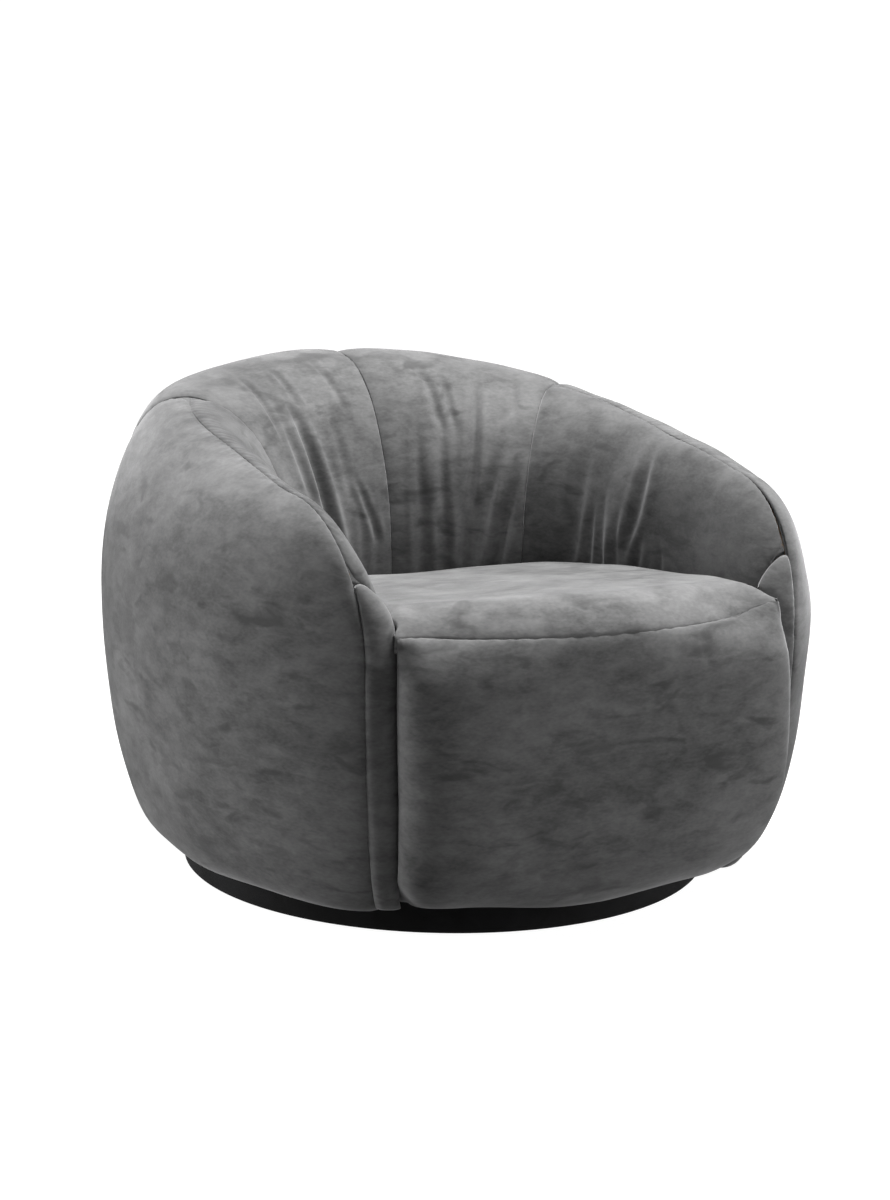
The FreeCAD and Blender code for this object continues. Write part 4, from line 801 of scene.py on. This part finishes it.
def woven(name, dark, light):
    material, tree, shader = new_material(name)
    weave = tree.nodes.new("ShaderNodeTexVoronoi")
    weave.inputs["Scale"].default_value = 620.0
    patch = ranged(tree, noise_node(tree, 14.0, 4.0, 0.8), 0.3, 0.7)
    tree.links.new(coloured(tree, patch, dark, light), shader.inputs["Base Color"])
    shader.inputs["Roughness"].default_value = 0.9
    shader.inputs["Sheen Weight"].default_value = 0.03
    shader.inputs["Specular IOR Level"].default_value = CLOTH_SPECULAR
    bumped(tree, shader, weave.outputs["Distance"], 0.4, 0.0006)
    return material


def grained(name, dark, light, along, roughness):
    material, tree, shader = new_material(name)
    grain = ranged(tree, noise_node(tree, 22.0, 6.0, 1.2, along), 0.3, 0.7)
    tree.links.new(coloured(tree, grain, dark, light), shader.inputs["Base Color"])
    shader.inputs["Roughness"].default_value = roughness
    bumped(tree, shader, grain, 0.25, 0.0005)
    return material


def metal(name, colour, roughness):
    material, tree, shader = new_material(name)
    streak = ranged(tree, noise_node(tree, 160.0, 4.0, 0.2, (1, 12, 1)), 0.2, 0.8)
    dark = tuple(0.8 * value for value in colour)
    tree.links.new(coloured(tree, streak, dark, colour), shader.inputs["Base Color"])
    rough = ranged(tree, streak, 0, 1, roughness - 0.06, roughness + 0.1)
    tree.links.new(rough, shader.inputs["Roughness"])
    shader.inputs["Metallic"].default_value = 1.0
    bumped(tree, shader, streak, 0.1, 0.0002)
    return material


# Chair

# Painted light and shade: copies of one velvet, lighter on the seat top, darker on the outer and back
# panels, and darkest on the arm insides
VELVETS = {"seat": velvet("velvet_seat_painted_light", 1.03), "outer": velvet("velvet_outer_painted_shade", 0.84),
           "back": velvet("velvet_back_painted_shade", 0.78), "arm": velvet("velvet_arm_painted_shade", 0.66)}


def paint(piece, material):
    piece.data.materials.clear()
    piece.data.materials.append(material)


def cover(piece, pile, *nodes):
    """Panel of the chair, with the velvet copy that paints its light and shade, that shows instead of
    the nodes.
    """
    paint(piece, VELVETS[pile])
    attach(piece, "chair")
    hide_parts(*nodes)


for side in (1, -1):
    back_nodes = [sided("back_cover", side)] + (["back_foam"] if side > 0 else [])
    cover(back_panel(side), "back", *back_nodes)
    cover(side_panel(side), "outer", sided("side_cover", side))
    cover(arm_panel(side), "arm", sided("arm_cover", side), sided("arm_foam", side))
    cover(strip_panel(side), "outer", sided("arm_front_strip", side))
cover(seat_top_panel(), "seat", "seat_top_cover", "seat_foam")
cover(seat_front_panel(), "outer", "seat_front_cover", "seat_front_foam")

SLOT_MATERIALS = {
    "plywood": grained("plywood", (0.45, 0.30, 0.16), (0.66, 0.48, 0.29), (1, 1, 8), 0.6),
    "timber": grained("timber", (0.42, 0.27, 0.14), (0.60, 0.42, 0.24), (1, 9, 1), 0.65),
    "hardboard": grained("hardboard", (0.20, 0.12, 0.07), (0.30, 0.19, 0.11), (1, 1, 1), 0.7),
    "base_cloth": woven("base_cloth", (0.006, 0.006, 0.006), (0.014, 0.014, 0.015)),
    "glide_nylon": grained("glide_nylon", (0.02, 0.02, 0.02), (0.03, 0.03, 0.03), (1, 1, 1), 0.5),
    "bush_bronze": metal("bush_bronze", (0.55, 0.38, 0.17), 0.35),
    "zinc_steel": metal("zinc_steel", (0.62, 0.63, 0.64), 0.35),
    "spring_steel": metal("spring_steel", (0.38, 0.39, 0.41), 0.3),
}
for entry in frame["record"]["subparts"]:
    if entry["material_slot"] in SLOT_MATERIALS:
        paint(frame["nodes"][entry["node"]], SLOT_MATERIALS[entry["material_slot"]])


# Studio

# Reach and height of the floor, which curves up into a wall
FLOOR_PROFILE = [(0, 0), (2000, 0), (3400, 0), (4300, 60),
                 (5000, 350), (5500, 950), (5800, 2000), (5900, 5000)]
FLOOR_SEGMENTS, FLOOR_COLOUR, FLOOR_GLOW, WORLD_LIGHT = 96, 0.22, 0.96, 0.04
# The camera's angles in degrees, its place in metres, its focal length in pixels and its sensor in mm
CAMERA_AZIMUTH, CAMERA_ELEVATION, CAMERA_ROLL = -24.5, 11.58681, 1.0
CAMERA_DISTANCE, CAMERA_ASIDE, CAMERA_HEIGHT = 3.660787, -0.004195, 0.386783
FOCAL_PIXELS, FRAME_PIXELS, SENSOR = 2466.436, 1200, 24.0


def directly_seen(tree):
    """One for the rays that show the background in the picture, in metal or through glass."""
    path = tree.nodes.new("ShaderNodeLightPath")
    seen = combined(tree, path.outputs["Is Camera Ray"], path.outputs["Is Transmission Ray"], "MAXIMUM")
    return combined(tree, seen, path.outputs["Is Glossy Ray"], "MAXIMUM")


def backdrop():
    points, faces = [], []
    for reach, height in FLOOR_PROFILE:
        for index in range(FLOOR_SEGMENTS):
            turn = 2 * math.pi * index / FLOOR_SEGMENTS
            points.append((reach * math.cos(turn), reach * math.sin(turn), height))
    for ring in range(len(FLOOR_PROFILE) - 1):
        inner, outer = ring * FLOOR_SEGMENTS, (ring + 1) * FLOOR_SEGMENTS
        for index in range(FLOOR_SEGMENTS):
            following = (index + 1) % FLOOR_SEGMENTS
            faces.append((inner + index, inner + following, outer + following, outer + index))
    floor = make_object("floor", np.array(points), faces)
    material, tree, shader = new_material("floor")
    shader.inputs["Base Color"].default_value = (FLOOR_COLOUR, FLOOR_COLOUR, FLOOR_COLOUR, 1)
    shader.inputs["Roughness"].default_value = 0.95
    shader.inputs["Emission Color"].default_value = (1, 1, 1, 1)
    lit = ranged(tree, directly_seen(tree), 0, 1, 0, FLOOR_GLOW)
    tree.links.new(lit, shader.inputs["Emission Strength"])
    floor.data.materials.append(material)


def lamp(name, place, target, size, power):
    """Round lamp that faces its target; places and size in metres, power in watts."""
    light = bpy.data.lights.new(name, "AREA")
    light.shape = "DISK"
    light.size = size
    light.energy = power
    lamp_object = bpy.data.objects.new(name, light)
    lamp_object.location = place
    way = Vector(target) - Vector(place)
    lamp_object.rotation_euler = way.to_track_quat("-Z", "Y").to_euler()
    bpy.context.scene.collection.objects.link(lamp_object)


def world():
    scene_world = bpy.data.worlds.new("studio")
    bpy.context.scene.world = scene_world
    scene_world.use_nodes = True
    tree = scene_world.node_tree
    background = tree.nodes["Background"]
    strength = ranged(tree, directly_seen(tree), 0, 1, WORLD_LIGHT, 1.0)
    tree.links.new(strength, background.inputs["Strength"])
    background.inputs["Color"].default_value = (1, 1, 1, 1)


def camera():
    """Camera at the photograph's angle, from a fit of the outline and the seams."""
    azimuth, elevation = math.radians(CAMERA_AZIMUTH), math.radians(CAMERA_ELEVATION)
    roll = math.radians(CAMERA_ROLL)
    right = Vector((math.cos(azimuth), math.sin(azimuth), 0))
    level = math.cos(elevation)
    back = Vector((math.sin(azimuth) * level, -math.cos(azimuth) * level, math.sin(elevation)))
    up = back.cross(right)
    place = right * CAMERA_ASIDE + Vector((0, 0, CAMERA_HEIGHT)) + back * CAMERA_DISTANCE
    rolled_right = right * math.cos(roll) + up * math.sin(roll)
    rolled_up = up * math.cos(roll) - right * math.sin(roll)
    data = bpy.data.cameras.new("camera")
    data.sensor_fit = "VERTICAL"
    data.sensor_height = SENSOR
    data.lens = FOCAL_PIXELS * SENSOR / FRAME_PIXELS
    view = bpy.data.objects.new("camera", data)
    turned = Matrix((rolled_right, rolled_up, back)).transposed().to_4x4()
    view.matrix_world = Matrix.Translation(place) @ turned
    bpy.context.scene.collection.objects.link(view)
    bpy.context.scene.camera = view


backdrop()
world()
lamp("overhead", (0.7, 0.4, 3.3), (0, 0, 0.4), 1.8, 235)
lamp("left", (-3.1, 1.1, 0.8), (0, 0, 0.4), 1.6, 80)
lamp("right_front", (2.8, -2.5, 1.0), (0, -0.3, 0.3), 1.6, 58)
camera()
bpy.context.scene.view_settings.view_transform = "Standard"
